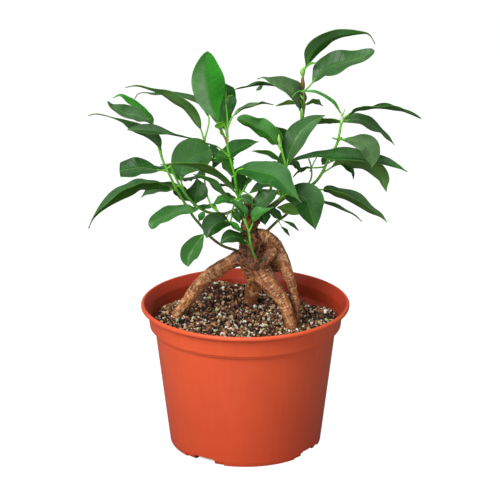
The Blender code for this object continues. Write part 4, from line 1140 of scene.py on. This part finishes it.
# %% Leaves of shoot_centre
LEAVES["shoot_centre"] = (
    Leaf("crown_front", 26, 14, "fresh", ((-17, -21, 251), (-20, -22, 257), (-21, -25, 265),
         (-24, -28, 273), (-26, -31, 285), (-28, -33, 303), (-27, -34, 316)), fold=16, broad=0.6,
         drip=-0.1, neck=0.5, painted_sheen=0.58),
    Leaf("crown_bract", 8, 10, "lime", ((-16, -22, 250), (-18, -25, 253), (-18, -28, 258),
         (-19, -30, 262)), fold=8, broad=0.8, drip=-0.55, neck=0.9),
    Leaf("crown_back", 25, 14, "mid", ((-12, -19, 246), (-13, -15, 250), (-15, -13, 254), (-18, -9, 266),
         (-18, -8, 277), (-15, -7, 286)), broad=0.68, drip=-0.5),
    Leaf("crown_spear", 4, 40, "lime", ((-13, -20, 264), (-14, -20, 274), (-15, -19, 282),
         (-16, -18, 294)), fold=40),
    Leaf("crown_thread", 1.4, 0, "lime", ((-14, -20, 272), (-13, -20, 275), (-12, -20, 279),
         (-9, -20, 280)), fold=0),
    Leaf("crown_right", 12, 80, "silver", ((-13, -20, 256), (-8, -18, 265), (-2, -14, 269), (4, -11, 270),
         (13, -6, 271), (21, -4, 269))),
    Leaf("crown_rear", 22, 60, "mid", ((-14, -20, 248), (-15, -13, 255), (-20, 8, 262), (-24, 34, 252))),
    Leaf("long_left", 13, 72, "slate", ((-12, -20, 233), (-21, -26, 243), (-27, -29, 246),
         (-35, -33, 250), (-47, -37, 254), (-57, -40, 257), (-67, -43, 260), (-76, -45, 261),
         (-85, -46, 261)), twist=-60, broad=0.74, drip=0.2, neck=1.0),
    Leaf("under_left", 16, 120, "dark", ((-8, -17, 216), (-10, -14, 217), (-14, -12, 225),
         (-20, -11, 233)), neck=0.3),
    Leaf("hero", 25, 40, "mid", ((-8, -17, 217), (-5, -22, 224), (3, -27, 226), (9, -31, 226),
         (16, -34, 225), (22, -37, 224), (28, -41, 219), (35, -45, 213), (41, -50, 207)), fold=8,
         broad=0.44, drip=1.0, neck=-0.2),
    Leaf("olive_left", 13, 110, "olive", ((-4, -12, 199), (-8, -17, 206), (-18, -22, 218),
         (-29, -28, 226), (-43, -33, 231), (-62, -36, 232)), drip=0.9),
    Leaf("small_right", 10, 60, "dark", ((-4, -11, 200), (-1, -15, 207), (3, -17, 215), (6, -17, 218),
         (10, -16, 220), (15, -15, 220))),
    Leaf("dark_left", 12, 112, "dark", ((-5, -12, 199), (-11, -10, 197), (-15, -9, 200), (-20, -8, 205),
         (-28, -7, 212), (-39, -6, 216))),
    Leaf("inner_olive", 8, 60, "olive", ((-5, -12, 199), (-7, -11, 197), (-9, -10, 198), (-13, -9, 200),
         (-17, -8, 203)), neck=-0.3),
    Leaf("inner_dark", 16, 40, "dark", ((-5, -12, 201), (-4, -10, 202), (-5, -6, 208), (-5, -2, 214),
         (-3, 2, 220)), drip=0.2),
    Leaf("neck_grey", 8, 24, "grey", ((-4, -11, 198), (-4, -15, 199), (-1, -16, 200), (2, -16, 199),
         (6, -16, 196)), neck=-0.3),
)
print("leaves:", len(LEAVES["shoot_centre"]))

# %% [markdown]
# The tallest stem stands behind on the right. Its two top leaves lean far out, one arched and one
# held flat, and thinner leaves cross behind the stem.

# %% Leaves of shoot_high_right
LEAVES["shoot_high_right"] = (
    Leaf("top_arch", 17, 118, "dark", ((43, 14, 285), (45, 14, 293), (47, 14, 298), (50, 13, 305),
         (55, 12, 311), (60, 11, 315), (67, 10, 318), (75, 8, 320), (83, 7, 321), (91, 6, 320),
         (96, 4, 313)), fold=12, broad=0.34, drip=0.8, neck=1.2),
    Leaf("top_blade", 22, 38, "grey", ((44, 16, 273), (50, 14, 281), (54, 13, 287), (58, 13, 292),
         (63, 12, 295), (72, 11, 298), (82, 10, 301), (90, 9, 304), (96, 8, 307)), fold=18, wave=1.4,
         broad=0.38, drip=-0.3, neck=0.9),
    Leaf("grey_left", 24, 46, "silver", ((44, 19, 254), (43, 18, 262), (42, 17, 266), (40, 15, 270),
         (37, 13, 275), (31, 12, 279), (25, 10, 282), (18, 8, 285), (13, 7, 287), (9, 6, 286)), fold=10,
         broad=0.22, drip=0.7, neck=-0.2),
    Leaf("back_long", 15, 84, "dark", ((44, 17, 268), (35, 24, 275), (13, 30, 277), (-8, 32, 272))),
    Leaf("long_drop", 3, 20, "mid", ((31, 26, 274), (13, 29, 276), (11, 28, 274), (8, 28, 272)), fold=0),
    Leaf("cross_left", 10, 104, "moss", ((44, 19, 252), (44, 23, 265), (36, 26, 263), (30, 27, 262),
         (23, 28, 260))),
    Leaf("cross_right", 11, 104, "moss", ((44, 18, 256), (46, 22, 263), (50, 25, 264), (54, 27, 263),
         (59, 28, 260)), broad=0.3, neck=-0.4),
    Leaf("thread_top", 2.6, 40, "lime", ((43, 14, 285), (45, 13, 293), (48, 13, 296), (53, 12, 297)),
         fold=0),
    Leaf("rear_upper", 20, 66, "mid", ((42, 19, 248), (41, 26, 264), (35, 42, 270), (29, 60, 266))),
    Leaf("rear_middle", 20, 66, "mid", ((32, 20, 206), (29, 28, 205), (24, 44, 199), (13, 54, 196))),
    Leaf("under_olive", 17, 60, "moss", ((35, 15, 181), (42, -4, 185), (38, -5, 187), (34, -4, 187),
         (29, -3, 188), (24, -3, 189)), drip=0.2),
    Leaf("under_grey", 10, 40, "grey", ((24, 11, 173), (28, 5, 179), (24, 2, 182), (18, -1, 184)),
         drip=0.2),
    Leaf("tiny_a", 4, 50, "mid", ((27, 12, 174), (30, 10, 174), (35, 9, 172), (41, 8, 167))),
    Leaf("tiny_b", 4, 50, "dark", ((26, 12, 174), (28, 11, 169), (31, 11, 166), (34, 11, 162))),
)
print("leaves:", len(LEAVES["shoot_high_right"]))

# %% [markdown]
# The stem of this shoot leans outward, so most of its leaves bend down towards the tip. A narrow
# young leaf arches back over the plant.

# %% Leaves of shoot_right
LEAVES["shoot_right"] = (
    Leaf("young_arch", 5, 60, "fresh", ((72, -5, 260), (71, -5, 263), (69, -4, 266), (66, -3, 270),
         (62, -2, 273), (57, -1, 276), (51, 0, 278), (47, 1, 278), (43, 3, 278), (38, 1, 277),
         (35, -1, 274)), fold=20, broad=0.36, drip=1.6, neck=0.6),
    Leaf("far_right", 16, 82, "dark", ((72, -5, 257), (77, -5, 262), (80, -5, 264), (83, -6, 266),
         (88, -7, 267), (95, -9, 269), (103, -10, 269), (110, -11, 268), (117, -12, 267), (122, -13, 265),
         (130, -14, 261)), fold=18, wave=1.2, drip=-0.1),
    Leaf("right_droop", 17, 56, "grey", ((71, -4, 254), (73, -4, 256), (77, -3, 257), (85, -1, 257),
         (93, 1, 253), (99, 4, 249), (104, 6, 244), (109, 7, 239), (112, 8, 235)), fold=10, broad=0.44,
         neck=0.1),
    Leaf("right_in", 15, 108, "olive", ((71, -4, 254), (71, -3, 256), (66, 1, 255), (60, 4, 254),
         (55, 9, 252), (50, 14, 249), (47, 17, 244)), broad=0.4, neck=-0.4),
    Leaf("right_spoon", 19, 36, "silver", ((68, -2, 239), (71, -6, 243), (79, -10, 243), (86, -13, 243),
         (91, -16, 240), (93, -18, 236), (94, -20, 231), (94, -21, 225)), broad=0.56, drip=0.5, neck=0.2),
    Leaf("right_olive", 19, 120, "soft", ((58, 2, 214), (65, 2, 219), (69, 2, 222), (76, 2, 223),
         (83, 1, 222), (92, 1, 220), (100, 0, 216), (104, -1, 211), (105, -3, 206), (106, -5, 202)),
         broad=0.56, drip=0.2),
    Leaf("right_hang", 10, 50, "mid", ((63, 0, 226), (69, 2, 224), (75, 4, 221), (79, 5, 218),
         (81, 7, 214), (82, 8, 208))),
    Leaf("right_low", 19, 70, "grey", ((47, 6, 202), (59, 7, 200), (64, 7, 200), (69, 6, 198),
         (77, 5, 196), (87, 3, 191), (95, 0, 186), (102, -4, 183), (107, -8, 179)), fold=40, broad=0.44,
         neck=-0.3),
    Leaf("right_thin", 8, 76, "grey", ((45, 6, 201), (51, 10, 197), (60, 12, 189), (68, 12, 186),
         (75, 11, 183), (82, 10, 180), (89, 10, 174))),
    Leaf("right_rear", 18, 66, "mid", ((62, 1, 222), (65, 8, 222), (71, 26, 221), (78, 46, 214))),
    Leaf("right_edge", 9, 104, "olive", ((60, 2, 219), (50, 8, 217), (47, 9, 217), (43, 9, 215),
         (39, 8, 213), (36, 6, 210)), fold=6),
    Leaf("right_small", 6, 30, "grey", ((63, 0, 227), (62, 6, 225), (60, 8, 223), (58, 9, 219)),
         drip=0.2),
)
print("leaves:", len(LEAVES["shoot_right"]))

# %% [markdown]
# This shoot is green and young. Its leaves stand up close round the stem, except for one long leaf
# that reaches right and a broad dark one that hangs in front.

# %% Leaves of shoot_middle
LEAVES["shoot_middle"] = (
    Leaf("mid_tall", 18, 24, "grey", ((30, -18, 222), (31, -18, 226), (32, -19, 234), (35, -20, 243),
         (41, -18, 252), (48, -15, 258), (59, -12, 263)), fold=18, drip=0.3),
    Leaf("mid_left", 16, 146, "bright", ((28, -20, 236), (24, -20, 243), (21, -20, 248), (16, -19, 253),
         (9, -18, 256), (2, -18, 260), (-6, -18, 262)), fold=24, wave=1.8, broad=0.34, drip=-0.3,
         neck=-0.3),
    Leaf("mid_inner", 12, 36, "dark", ((28, -20, 235), (28, -12, 238), (29, -9, 243), (27, -8, 248),
         (23, -7, 253))),
    Leaf("mid_back", 14, 30, "mid", ((30, -17, 220), (31, -8, 226), (34, -3, 236), (41, 2, 243),
         (49, 6, 247)), drip=0.2, neck=0.8, broad=0.6),
    Leaf("mid_thin", 9, 110, "dark", ((30, -17, 222), (30, -17, 225), (28, -16, 227), (23, -14, 231),
         (18, -12, 233), (12, -9, 234), (5, -6, 234)), fold=8),
    Leaf("mid_small", 7, 40, "dark", ((30, -17, 220), (32, -14, 226), (35, -14, 227), (38, -13, 225),
         (42, -12, 219))),
    Leaf("right_long", 22, 62, "mid", ((30, -17, 222), (31, -17, 226), (34, -18, 229), (39, -17, 231),
         (46, -15, 232), (54, -13, 233), (65, -11, 232), (76, -9, 231), (86, -8, 230), (96, -8, 228),
         (105, -8, 226), (113, -9, 223), (121, -10, 219)), broad=0.6),
    Leaf("right_dark", 25, 22, "dark", ((24, -11, 197), (30, -16, 203), (34, -20, 205), (41, -26, 206),
         (46, -29, 203), (48, -32, 197), (50, -34, 190), (52, -36, 182)), broad=0.46, drip=0.3),
    Leaf("neck_right", 16, 30, "grey", ((11, -8, 186), (5, -11, 193), (8, -13, 195), (11, -14, 197),
         (17, -15, 201), (24, -15, 206)), drip=0.2),
    Leaf("neck_small", 7, 30, "grey", ((27, -12, 200), (22, -11, 208), (17, -11, 210), (14, -11, 210),
         (9, -12, 207), (3, -13, 203)), drip=0.2),
    Leaf("under_dark", 11, 30, "dark", ((14, -8, 188), (14, -5, 189), (14, -7, 184), (15, -9, 177))),
)
print("leaves:", len(LEAVES["shoot_middle"]))

# %% [markdown]
# A thin stem comes out of the trunk low down on the left. Its leaves spread like a fan, and the
# broadest arches over and points at the ground.

# %% Leaves of shoot_left_front
LEAVES["shoot_left_front"] = (
    Leaf("left_arch", 22, 70, "dark", ((-51, -18, 206), (-56, -24, 210), (-60, -26, 212), (-66, -28, 214),
         (-71, -31, 215), (-78, -34, 216), (-84, -37, 213), (-93, -40, 209), (-101, -42, 204),
         (-108, -44, 198), (-112, -45, 193), (-115, -46, 186)), fold=42, broad=0.42, drip=1.0),
    Leaf("left_tip_under", 13, 120, "slate", ((-61, -23, 234), (-62, -24, 240), (-65, -25, 247),
         (-71, -27, 253), (-79, -28, 257), (-85, -29, 260), (-92, -30, 264), (-99, -31, 267),
         (-106, -32, 269), (-111, -33, 269), (-114, -33, 268)), twist=-30, broad=0.3, drip=2.2, neck=1.2),
    Leaf("left_grey", 17, 52, "grey", ((-66, -22, 250), (-68, -18, 258), (-71, -17, 261), (-76, -16, 263),
         (-81, -16, 265), (-87, -17, 266), (-93, -18, 269), (-99, -18, 272), (-101, -18, 275)), broad=0.4,
         drip=0.0),
    Leaf("left_bright", 10, 62, "fresh", ((-67, -23, 254), (-68, -25, 260), (-71, -27, 267),
         (-76, -29, 273), (-84, -31, 278), (-91, -32, 283), (-96, -32, 281))),
    Leaf("left_low_light", 16, 14, "soft", ((-31, -8, 173), (-31, -12, 171), (-36, -16, 166),
         (-40, -20, 161), (-43, -22, 155), (-43, -24, 149)), fold=20, broad=0.56, drip=0.0),
)
print("leaves:", len(LEAVES["shoot_left_front"]))

# %% [markdown]
# The left shoot runs nearly level before it rises, and a thin branch goes up behind it. Some of its
# leaves show the viewer a broad face, and others are seen from the edge.

# %% Leaves of shoot_left
LEAVES["shoot_left"] = (
    Leaf("flag", 17, 32, "dark", ((-56, -4, 221), (-61, -6, 219), (-67, -8, 220), (-77, -8, 222),
         (-86, -8, 221), (-94, -7, 219)), broad=0.68, drip=-0.62),
    Leaf("left_round", 29, 12, "soft", ((-45, 0, 199), (-48, 2, 207), (-49, 4, 213), (-46, 7, 220),
         (-40, 11, 225), (-26, 17, 229)), broad=0.6, drip=-0.3, neck=0.1),
    Leaf("left_grey_low", 15, 54, "grey", ((-44, 0, 197), (-49, 5, 203), (-61, 6, 202), (-72, 5, 200),
         (-79, 3, 195))),
    Leaf("left_inner", 15, 50, "mid", ((-36, 2, 188), (-40, 9, 190), (-49, 14, 195), (-57, 16, 202))),
    Leaf("left_up", 17, 16, "grey", ((-37, 1, 189), (-39, 6, 188), (-38, 9, 193), (-36, 11, 200),
         (-37, 12, 208)), neck=0.5),
    Leaf("left_low", 16, 46, "soft", ((-32, 2, 186), (-35, -10, 192), (-39, -20, 193), (-46, -22, 193),
         (-53, -25, 192), (-59, -27, 190), (-66, -29, 187), (-70, -31, 181)), broad=0.62, drip=-0.3),
    Leaf("left_bright_low", 6, 30, "fresh", ((-31, 2, 184), (-31, -4, 186), (-33, -6, 183),
         (-35, -6, 179))),
    Leaf("cluster_far", 8, 60, "mid", ((-20, 4, 182), (-22, 8, 185), (-25, 10, 186), (-30, 10, 185),
         (-37, 9, 187)), neck=-0.2),
    Leaf("cluster_near", 9, 44, "pale", ((-10, 4, 184), (-9, -2, 192), (-12, -4, 195), (-15, -5, 196),
         (-20, -5, 195), (-25, -3, 191)), neck=-0.3),
    Leaf("low_lime", 6, 40, "fresh", ((-13, 4, 183), (-13, -8, 179), (-10, -9, 178), (-6, -10, 175),
         (-2, -11, 172))),
    Leaf("neck_left", 8, 30, "dark", ((-8, 4, 184), (-9, -3, 187), (-8, -5, 186), (-6, -7, 183),
         (-4, -8, 178))),
    Leaf("front_leaf_low", 20, 34, "night", ((-10, 4, 184), (-12, -8, 179), (-16, -12, 182),
         (-20, -16, 182), (-25, -19, 179), (-29, -22, 171)), broad=0.46, drip=0.1, neck=-0.2),
    Leaf("back_olive", 13, 116, "soft", ((-31, 22, 234), (-34, 22, 244), (-39, 22, 254), (-44, 21, 261),
         (-51, 20, 266), (-62, 19, 272), (-70, 18, 275), (-83, 18, 278), (-90, 17, 277)), twist=-34,
         broad=0.4, drip=0.9),
    Leaf("back_grey", 14, 72, "grey", ((-31, 22, 234), (-28, 26, 253), (-34, 28, 262), (-41, 29, 266),
         (-49, 30, 268), (-60, 30, 269), (-70, 30, 269), (-77, 30, 270), (-81, 30, 269), (-84, 30, 265)),
         fold=8, broad=0.34, drip=1.0),
    Leaf("back_right", 18, 44, "mid", ((-31, 19, 214), (-26, 15, 221), (-18, 11, 225), (-10, 8, 230),
         (1, 5, 236), (10, 2, 239))),
    Leaf("back_hang", 9, 40, "mid", ((-31, 20, 219), (-24, 22, 224), (-22, 24, 219), (-25, 26, 211))),
    Leaf("rear_left", 22, 66, "mid", ((-31, 17, 206), (-33, 23, 205), (-39, 46, 201), (-43, 68, 189))),
    Leaf("rear_inner", 20, 66, "mid", ((-31, 20, 222), (-28, 27, 222), (-18, 48, 217), (-10, 66, 206))),
    Leaf("flag_rear", 18, 66, "mid", ((-52, -2, 212), (-54, 5, 213), (-62, 25, 213), (-72, 46, 206))),
)
print("leaves:", len(LEAVES["shoot_left"]))

# %% [markdown]
# Three small leaves stand on the short shoot in front of the neck.

# %% Leaves of shoot_front
LEAVES["shoot_front"] = (
    Leaf("front_dark", 15, 46, "night", ((5, -18, 162), (2, -22, 167), (-2, -25, 171), (-7, -28, 174),
         (-13, -30, 174), (-19, -32, 169)), fold=6),
    Leaf("pale_left", 9, 36, "pale", ((1, -20, 180), (0, -22, 187), (-1, -24, 192), (-4, -25, 196),
         (-7, -25, 199), (-11, -25, 202)), fold=24, broad=0.4, neck=-0.2),
    Leaf("pale_right", 11, 44, "pale", ((3, -20, 175), (6, -22, 184), (6, -25, 189), (9, -28, 192),
         (15, -30, 195), (21, -32, 198)), broad=0.32, drip=0.9, neck=-0.2),
)
print("leaves:", len(LEAVES["shoot_front"]))

# %% [markdown]
# A plant grows on all sides, so a few leaves fill it out behind. Nothing shows what they are really
# like, and they are plain ones of middle size.

# %% Leaves of shoot_back
LEAVES["shoot_back"] = (
    Leaf("back_left_arm", 20, 66, "mid", ((14, 28, 181), (-1, 40, 189), (-10, 50, 192), (-20, 64, 186))),
    Leaf("back_right_arm", 20, 66, "mid", ((17, 37, 184), (24, 44, 186), (44, 52, 182), (58, 56, 171))),
    Leaf("back_end", 22, 66, "mid", ((20, 60, 193), (20, 67, 196), (16, 84, 195), (10, 104, 184))),
    Leaf("back_up", 12, 20, "mid", ((20, 57, 191), (24, 60, 199), (32, 62, 210), (40, 64, 224))),
)
print("leaves:", len(LEAVES["shoot_back"]))

every_leaf = [leaf for leaves in LEAVES.values() for leaf in leaves]
widest = max(every_leaf, key=lambda leaf: leaf.width)
print("leaves in all:", len(every_leaf), "the widest is", widest.name, "with", widest.width, "mm")

# %% [markdown]
# Every shoot is made as two pieces that together stand for its CAD solid: the green stems with
# their leaf stalks and buds, and the blades. All blades have the same grid, so the faces of one are
# the faces of the next with a number added.

# %% Shoots
STALK_SIDES = 10
STALK_ROWS = 16
STALK_RADIUS = 0.7
STALK_IN_BLADE = 5.0  # mm at most
FINE_STEPS = 200
STEM_STEPS = 120
STEM_ROWS = 9  # for each point that a stem is given by
BUD_ROWS = 14
SCALE_STEP = 9.0  # mm, twice the distance between the marks of old bud scales on a stem
BARK_GREEN = {  # colour of each shoot's main stem at the foot and at the tip
    "shoot_centre": (srgb(98, 190, 34), srgb(134, 100, 52)),
    "shoot_middle": (srgb(66, 48, 30), srgb(112, 196, 54)),
    "shoot_right": (srgb(78, 84, 40), srgb(112, 202, 54)),
    "shoot_high_right": (srgb(62, 74, 34), srgb(112, 120, 54)),
    "shoot_left": (srgb(70, 88, 36), srgb(98, 184, 44)),
    "shoot_left_front": (srgb(66, 74, 34), srgb(108, 196, 50)),
    "shoot_front": (srgb(98, 152, 36), srgb(118, 200, 56)),
    "shoot_back": (srgb(84, 96, 42), srgb(104, 180, 50)),
}
CHANGE = (0.12, 0.75)  # shares of the length between which the colour changes
CHANGE_HIGH = {"shoot_centre": (0.76, 0.84)}  # the shoot that changes elsewhere
STALK_GREEN = srgb(112, 192, 52)
BUDS = {  # radius, colour and middle line of each bud and bud sheath
    "shoot_high_right": (
        (1.9, srgb(130, 190, 70), ((43, 15, 286), (43, 15, 290), (44, 15, 293))),
        (1.5, srgb(130, 90, 40), ((44, 16, 276), (43, 15, 282), (43, 15, 287))),
    ),
    "shoot_right": ((1.2, srgb(206, 226, 170), ((72, -4, 254), (72, -5, 258), (72, -5, 262))),),
    "shoot_middle": ((1.2, srgb(160, 210, 96), ((26, -21, 243), (25, -22, 247), (25, -22, 251))),),
}


def stalk_rings(leaf, stem_points):
    """The petiole: from the nearest point of a stem's middle to a little way into the blade, thickest
    where it leaves the stem."""
    points = np.array(leaf.points, float)
    points[0] = stem_points[np.argmin(np.linalg.norm(stem_points - points[0], axis=1))]
    curve = smooth_curve(points, FINE_STEPS + 1)
    lengths = np.linalg.norm(np.diff(points, axis=0), axis=1)
    end = lengths[0] + min(0.16 * lengths[1:].sum(), STALK_IN_BLADE)
    path = curve[np.round(np.linspace(0, end / lengths.sum(), STALK_ROWS) * FINE_STEPS).astype(int)]
    t = np.linspace(0, 1, STALK_ROWS)
    radii = STALK_RADIUS * min(1.0, leaf.width / 8) * (1.0 + 0.5 * np.exp(-t * 9) - 0.25 * t)
    return tube_rings(path, radii, STALK_SIDES)


def stem_rings(foot_radius, tip_radius, points):
    """A tapered tube, with a low swelling every few millimetres where scales once sat."""
    path = smooth_curve(points, STEM_ROWS * len(points))
    along = distance_along(path)
    t = along / along[-1]
    radii = foot_radius + (tip_radius - foot_radius) * t
    radii = radii * (1 + 0.07 * np.cos(along * math.tau / SCALE_STEP) ** 8)
    return tube_rings(path, radii, STALK_SIDES), t


def bud_rings(radius, points):
    """A spindle: a tube whose radius is a sine bump over its length, fuller towards the foot."""
    t = np.linspace(0, 1, BUD_ROWS)
    radii = radius * (0.3 + 0.7 * np.sin(math.pi * t**0.8))
    return tube_rings(smooth_curve(points, BUD_ROWS), radii, STALK_SIDES)


def one_colour(colour, rings):
    """The same colour for every point of a ring surface."""
    return np.tile(colour, (rings.shape[0] * rings.shape[1], 1))


for shoot, leaves in LEAVES.items():
    middles = np.concatenate([smooth_curve(points, STEM_STEPS + 1) for _, _, points in STEMS[shoot]])
    (main, share), *others = [stem_rings(*stem) for stem in STEMS[shoot]]
    side_parts = [rings for rings, _ in others] + [stalk_rings(leaf, middles) for leaf in leaves]
    buds = [(bud_rings(radius, points), colour) for radius, colour, points in BUDS.get(shoot, ())]
    foot_colour, tip_colour = BARK_GREEN[shoot]
    blend = np.interp(share, CHANGE_HIGH.get(shoot, CHANGE), (0, 1))[:, None]
    tints = [np.repeat(foot_colour + (tip_colour - foot_colour) * blend, STALK_SIDES, axis=0)]
    tints += [one_colour(STALK_GREEN, rings) for rings in side_parts]
    tints += [one_colour(colour, rings) for rings, colour in buds]
    green = add_piece("stems_of_" + shoot, *joined([main, *side_parts, *(rings for rings, _ in buds)]))
    set_attribute(green, "tint", np.concatenate(tints))

    blades, places, looks = zip(*(blade_rings(leaf) for leaf in leaves))
    foliage = add_piece("leaves_of_" + shoot, *joined(blades))
    place = np.concatenate(places).reshape(-1, 3)
    set_attribute(foliage, "blade_place", place)
    set_attribute(foliage, "edge_and_sheen", np.concatenate(looks).reshape(-1, 3))
    upper_tone, under_tone = (
        np.concatenate([one_colour(TONES[leaf.tone][face], rings) for leaf, rings in zip(leaves, blades)])
        for face in (0, 1)
    )
    set_attribute(foliage, "tint", under_tone + (upper_tone - under_tone) * place[:, 2:])
    for piece in (green, foliage):
        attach(piece, "root")
        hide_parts(shoot)
    print(shoot, len(green.data.polygons), "+", len(foliage.data.polygons), "faces")

# %% [markdown]
# The leaf finish reads the place on the blade: millimetres across from the midrib, millimetres
# along, and one for the upper face. The midrib and the margin are pale lines, side veins leave the
# midrib at a slant, and wax makes the upper face glossy while the under face stays dull. A painted
# sheen, a pale grey-green that stands for reflected light, pales one half of each blade a little,
# and of the crown's tall upright leaf a good deal.

# %% Leaf finish
VEIN_STEP = 5.2  # mm between side veins, along the midrib
SMALL_VEIN_STEP = 1.3

finish, tree, shader = new_finish("ficus_leaf")
place = stored(tree, "blade_place", "Vector")
sideways, along, upper = put(tree, "SeparateXYZ", place).outputs
sideways = math_node(tree, "ABSOLUTE", sideways)
wander = noise_map(tree, place, 0.16, 2.0)
slant = math_node(tree, "SUBTRACT", along, times(tree, sideways, 0.62))
slant = plus(tree, slant, times(tree, wander, 2.4))
veins = math_node(tree, "PINGPONG", math_node(tree, "DIVIDE", slant, VEIN_STEP), 0.5)
vein_line = ramp(tree, veins, 0.0, 0.055, 1.0, 0.0)
small_veins = math_node(tree, "PINGPONG", math_node(tree, "DIVIDE", slant, SMALL_VEIN_STEP), 0.5)
small_vein_line = ramp(tree, small_veins, 0.0, 0.2, 1.0, 0.0)
midrib = ramp(tree, sideways, 0.15, 0.5, 1.0, 0.0)
blotch = ramp(tree, patch_mask(tree, 48.0, 0.12), 0, 1, 0.0, 0.75)
colour = mixed(tree, blotch, stored(tree, "tint", "Color"), (0.5, 0.6, 0.46), "MULTIPLY")
colour = mixed(tree, ramp(tree, sideways, 0.5, 6.0, 0.1, 0.0), colour, srgb(96, 156, 84))
colour = tinted(tree, colour, small_vein_line, 0.08, srgb(104, 150, 70))
colour = tinted(tree, colour, vein_line, 0.09, srgb(116, 160, 76))
colour = tinted(tree, colour, midrib, 0.24, srgb(122, 170, 78))
# Painted sheen: the stored share pales the blade towards a grey-green.
edge, sheen_share, _ = put(tree, "SeparateXYZ", stored(tree, "edge_and_sheen", "Vector")).outputs
sheen_share = times(tree, sheen_share, ramp(tree, wander, 0.3, 0.7, 0.7, 1.2))
colour = mixed(tree, sheen_share, colour, srgb(150, 188, 142))
colour = mixed(tree, ramp(tree, edge, 0.965, 1.0, 0.0, 0.4), colour, srgb(116, 164, 70))
link(tree, colour, shader, "Base Color")
gloss = plus(tree, ramp(tree, upper, 0, 1, 0.5, 0.27), times(tree, wander, 0.08))
link(tree, gloss, shader, "Roughness")
relief = plus(tree, times(tree, vein_line, -0.6), times(tree, grain_height(tree, 620.0, 0.4), 0.12))
bump(tree, relief, shader, 0.0003, 0.8)
shader.inputs["Specular IOR Level"].default_value = 0.16
leaf_finish = finish

finish, tree, shader = new_finish("green_stem", 0.5)
tint = stored(tree, "tint", "Color")
colour = mixed(tree, ramp(tree, patch_mask(tree, 260.0, 0.2), 0, 1, 0, 0.22), tint, srgb(88, 92, 46))
link(tree, colour, shader, "Base Color")
bump(tree, grain_height(tree, 1300.0, 0.5), shader, 0.0002, 0.6)
for shoot in LEAVES:
    bpy.data.objects["leaves_of_" + shoot].data.materials.append(leaf_finish)
    bpy.data.objects["stems_of_" + shoot].data.materials.append(finish)
print("finishes:", leaf_finish.name, "and", finish.name)

# %% [markdown]
# The studio is a pale floor, four soft lights and a white sky. The main light stands high on the left
# in front, because the pot is brightest left of its middle and falls off to the right. A wide panel
# overhead gives the leaves their sheen, one near the camera lights the front of the trunk and the
# pot, and a weak one at the right keeps the shadows open. Floor and sky are white only to the camera,
# and under the pot the floor's glow is cut off as a painted shadow, so that its notches show.

# %% Studio
FLOOR_SIDE = 12000.0
LIGHTS = (  # name, place and aim in mm, width and height in mm, watts
    ("main_light", (-700, -820, 960), (0, 0, 170), 620, 620, 16.5),
    ("overhead_light", (0, 100, 1400), (0, 0, 150), 1400, 1300, 13.0),
    ("front_light", (-260, -1480, 440), (0, 0, 130), 600, 500, 8.0),
    ("fill_light", (1400, -500, 500), (0, 0, 150), 700, 900, 2.0),
)

corners = np.array([(-1, -1, 0), (1, -1, 0), (1, 1, 0), (-1, 1, 0)]) * FLOOR_SIDE / 2
floor = add_piece("studio_floor", corners, [(0, 1, 2, 3)], smooth=False)
floor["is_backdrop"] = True
finish, tree, shader = new_finish("pale_floor", 0.9)
place = object_place(tree)
shade = put(tree, "TexNoise", Vector=place, Scale=3.0).outputs["Fac"]
# Painted shadow: the floor's glow is cut off under the pot.
beyond_pot = ramp(tree, length_of(tree, place), 0.0490, 0.0540)
link(tree, mixed(tree, shade, (0.12, 0.12, 0.12), (0.14, 0.14, 0.14)), shader, "Base Color")
shader.inputs["Emission Color"].default_value = (1, 1, 1, 1)
seen = put(tree, "LightPath").outputs["Is Camera Ray"]
glow = times(tree, ramp(tree, seen, 0, 1, 0.09, 0.96), beyond_pot)
link(tree, glow, shader, "Emission Strength")
floor.data.materials.append(finish)


def soft_panel(name, place, aim, width, height, power):
    """A flat rectangular light of this size, aimed at a point."""
    lamp = bpy.data.lights.new(name, "AREA")
    lamp.shape = "RECTANGLE"
    lamp.size = width * MM
    lamp.size_y = height * MM
    lamp.energy = power
    holder = bpy.data.objects.new(name, lamp)
    holder.location = Vector(place) * MM
    direction = Vector(aim) - Vector(place)
    holder.rotation_euler = direction.to_track_quat("-Z", "Y").to_euler()
    bpy.context.scene.collection.objects.link(holder)


for light in LIGHTS:
    soft_panel(*light)
world = bpy.data.worlds.new("white_studio")
world.use_nodes = True
sky = world.node_tree.nodes["Background"]
sky.inputs["Color"].default_value = (1.0, 1.0, 1.0, 1.0)
seen = put(world.node_tree, "LightPath").outputs["Is Camera Ray"]
world.node_tree.links.new(ramp(world.node_tree, seen, 0, 1, 0.17, 1.0), sky.inputs["Strength"])
bpy.context.scene.world = world
bpy.context.scene.view_settings.view_transform = "Standard"
print("lights:", [name for name, *_ in LIGHTS])

# %% Finish
low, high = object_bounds()
print("visual box in mm:", [round((b - a) / MM, 1) for a, b in zip(low, high)])
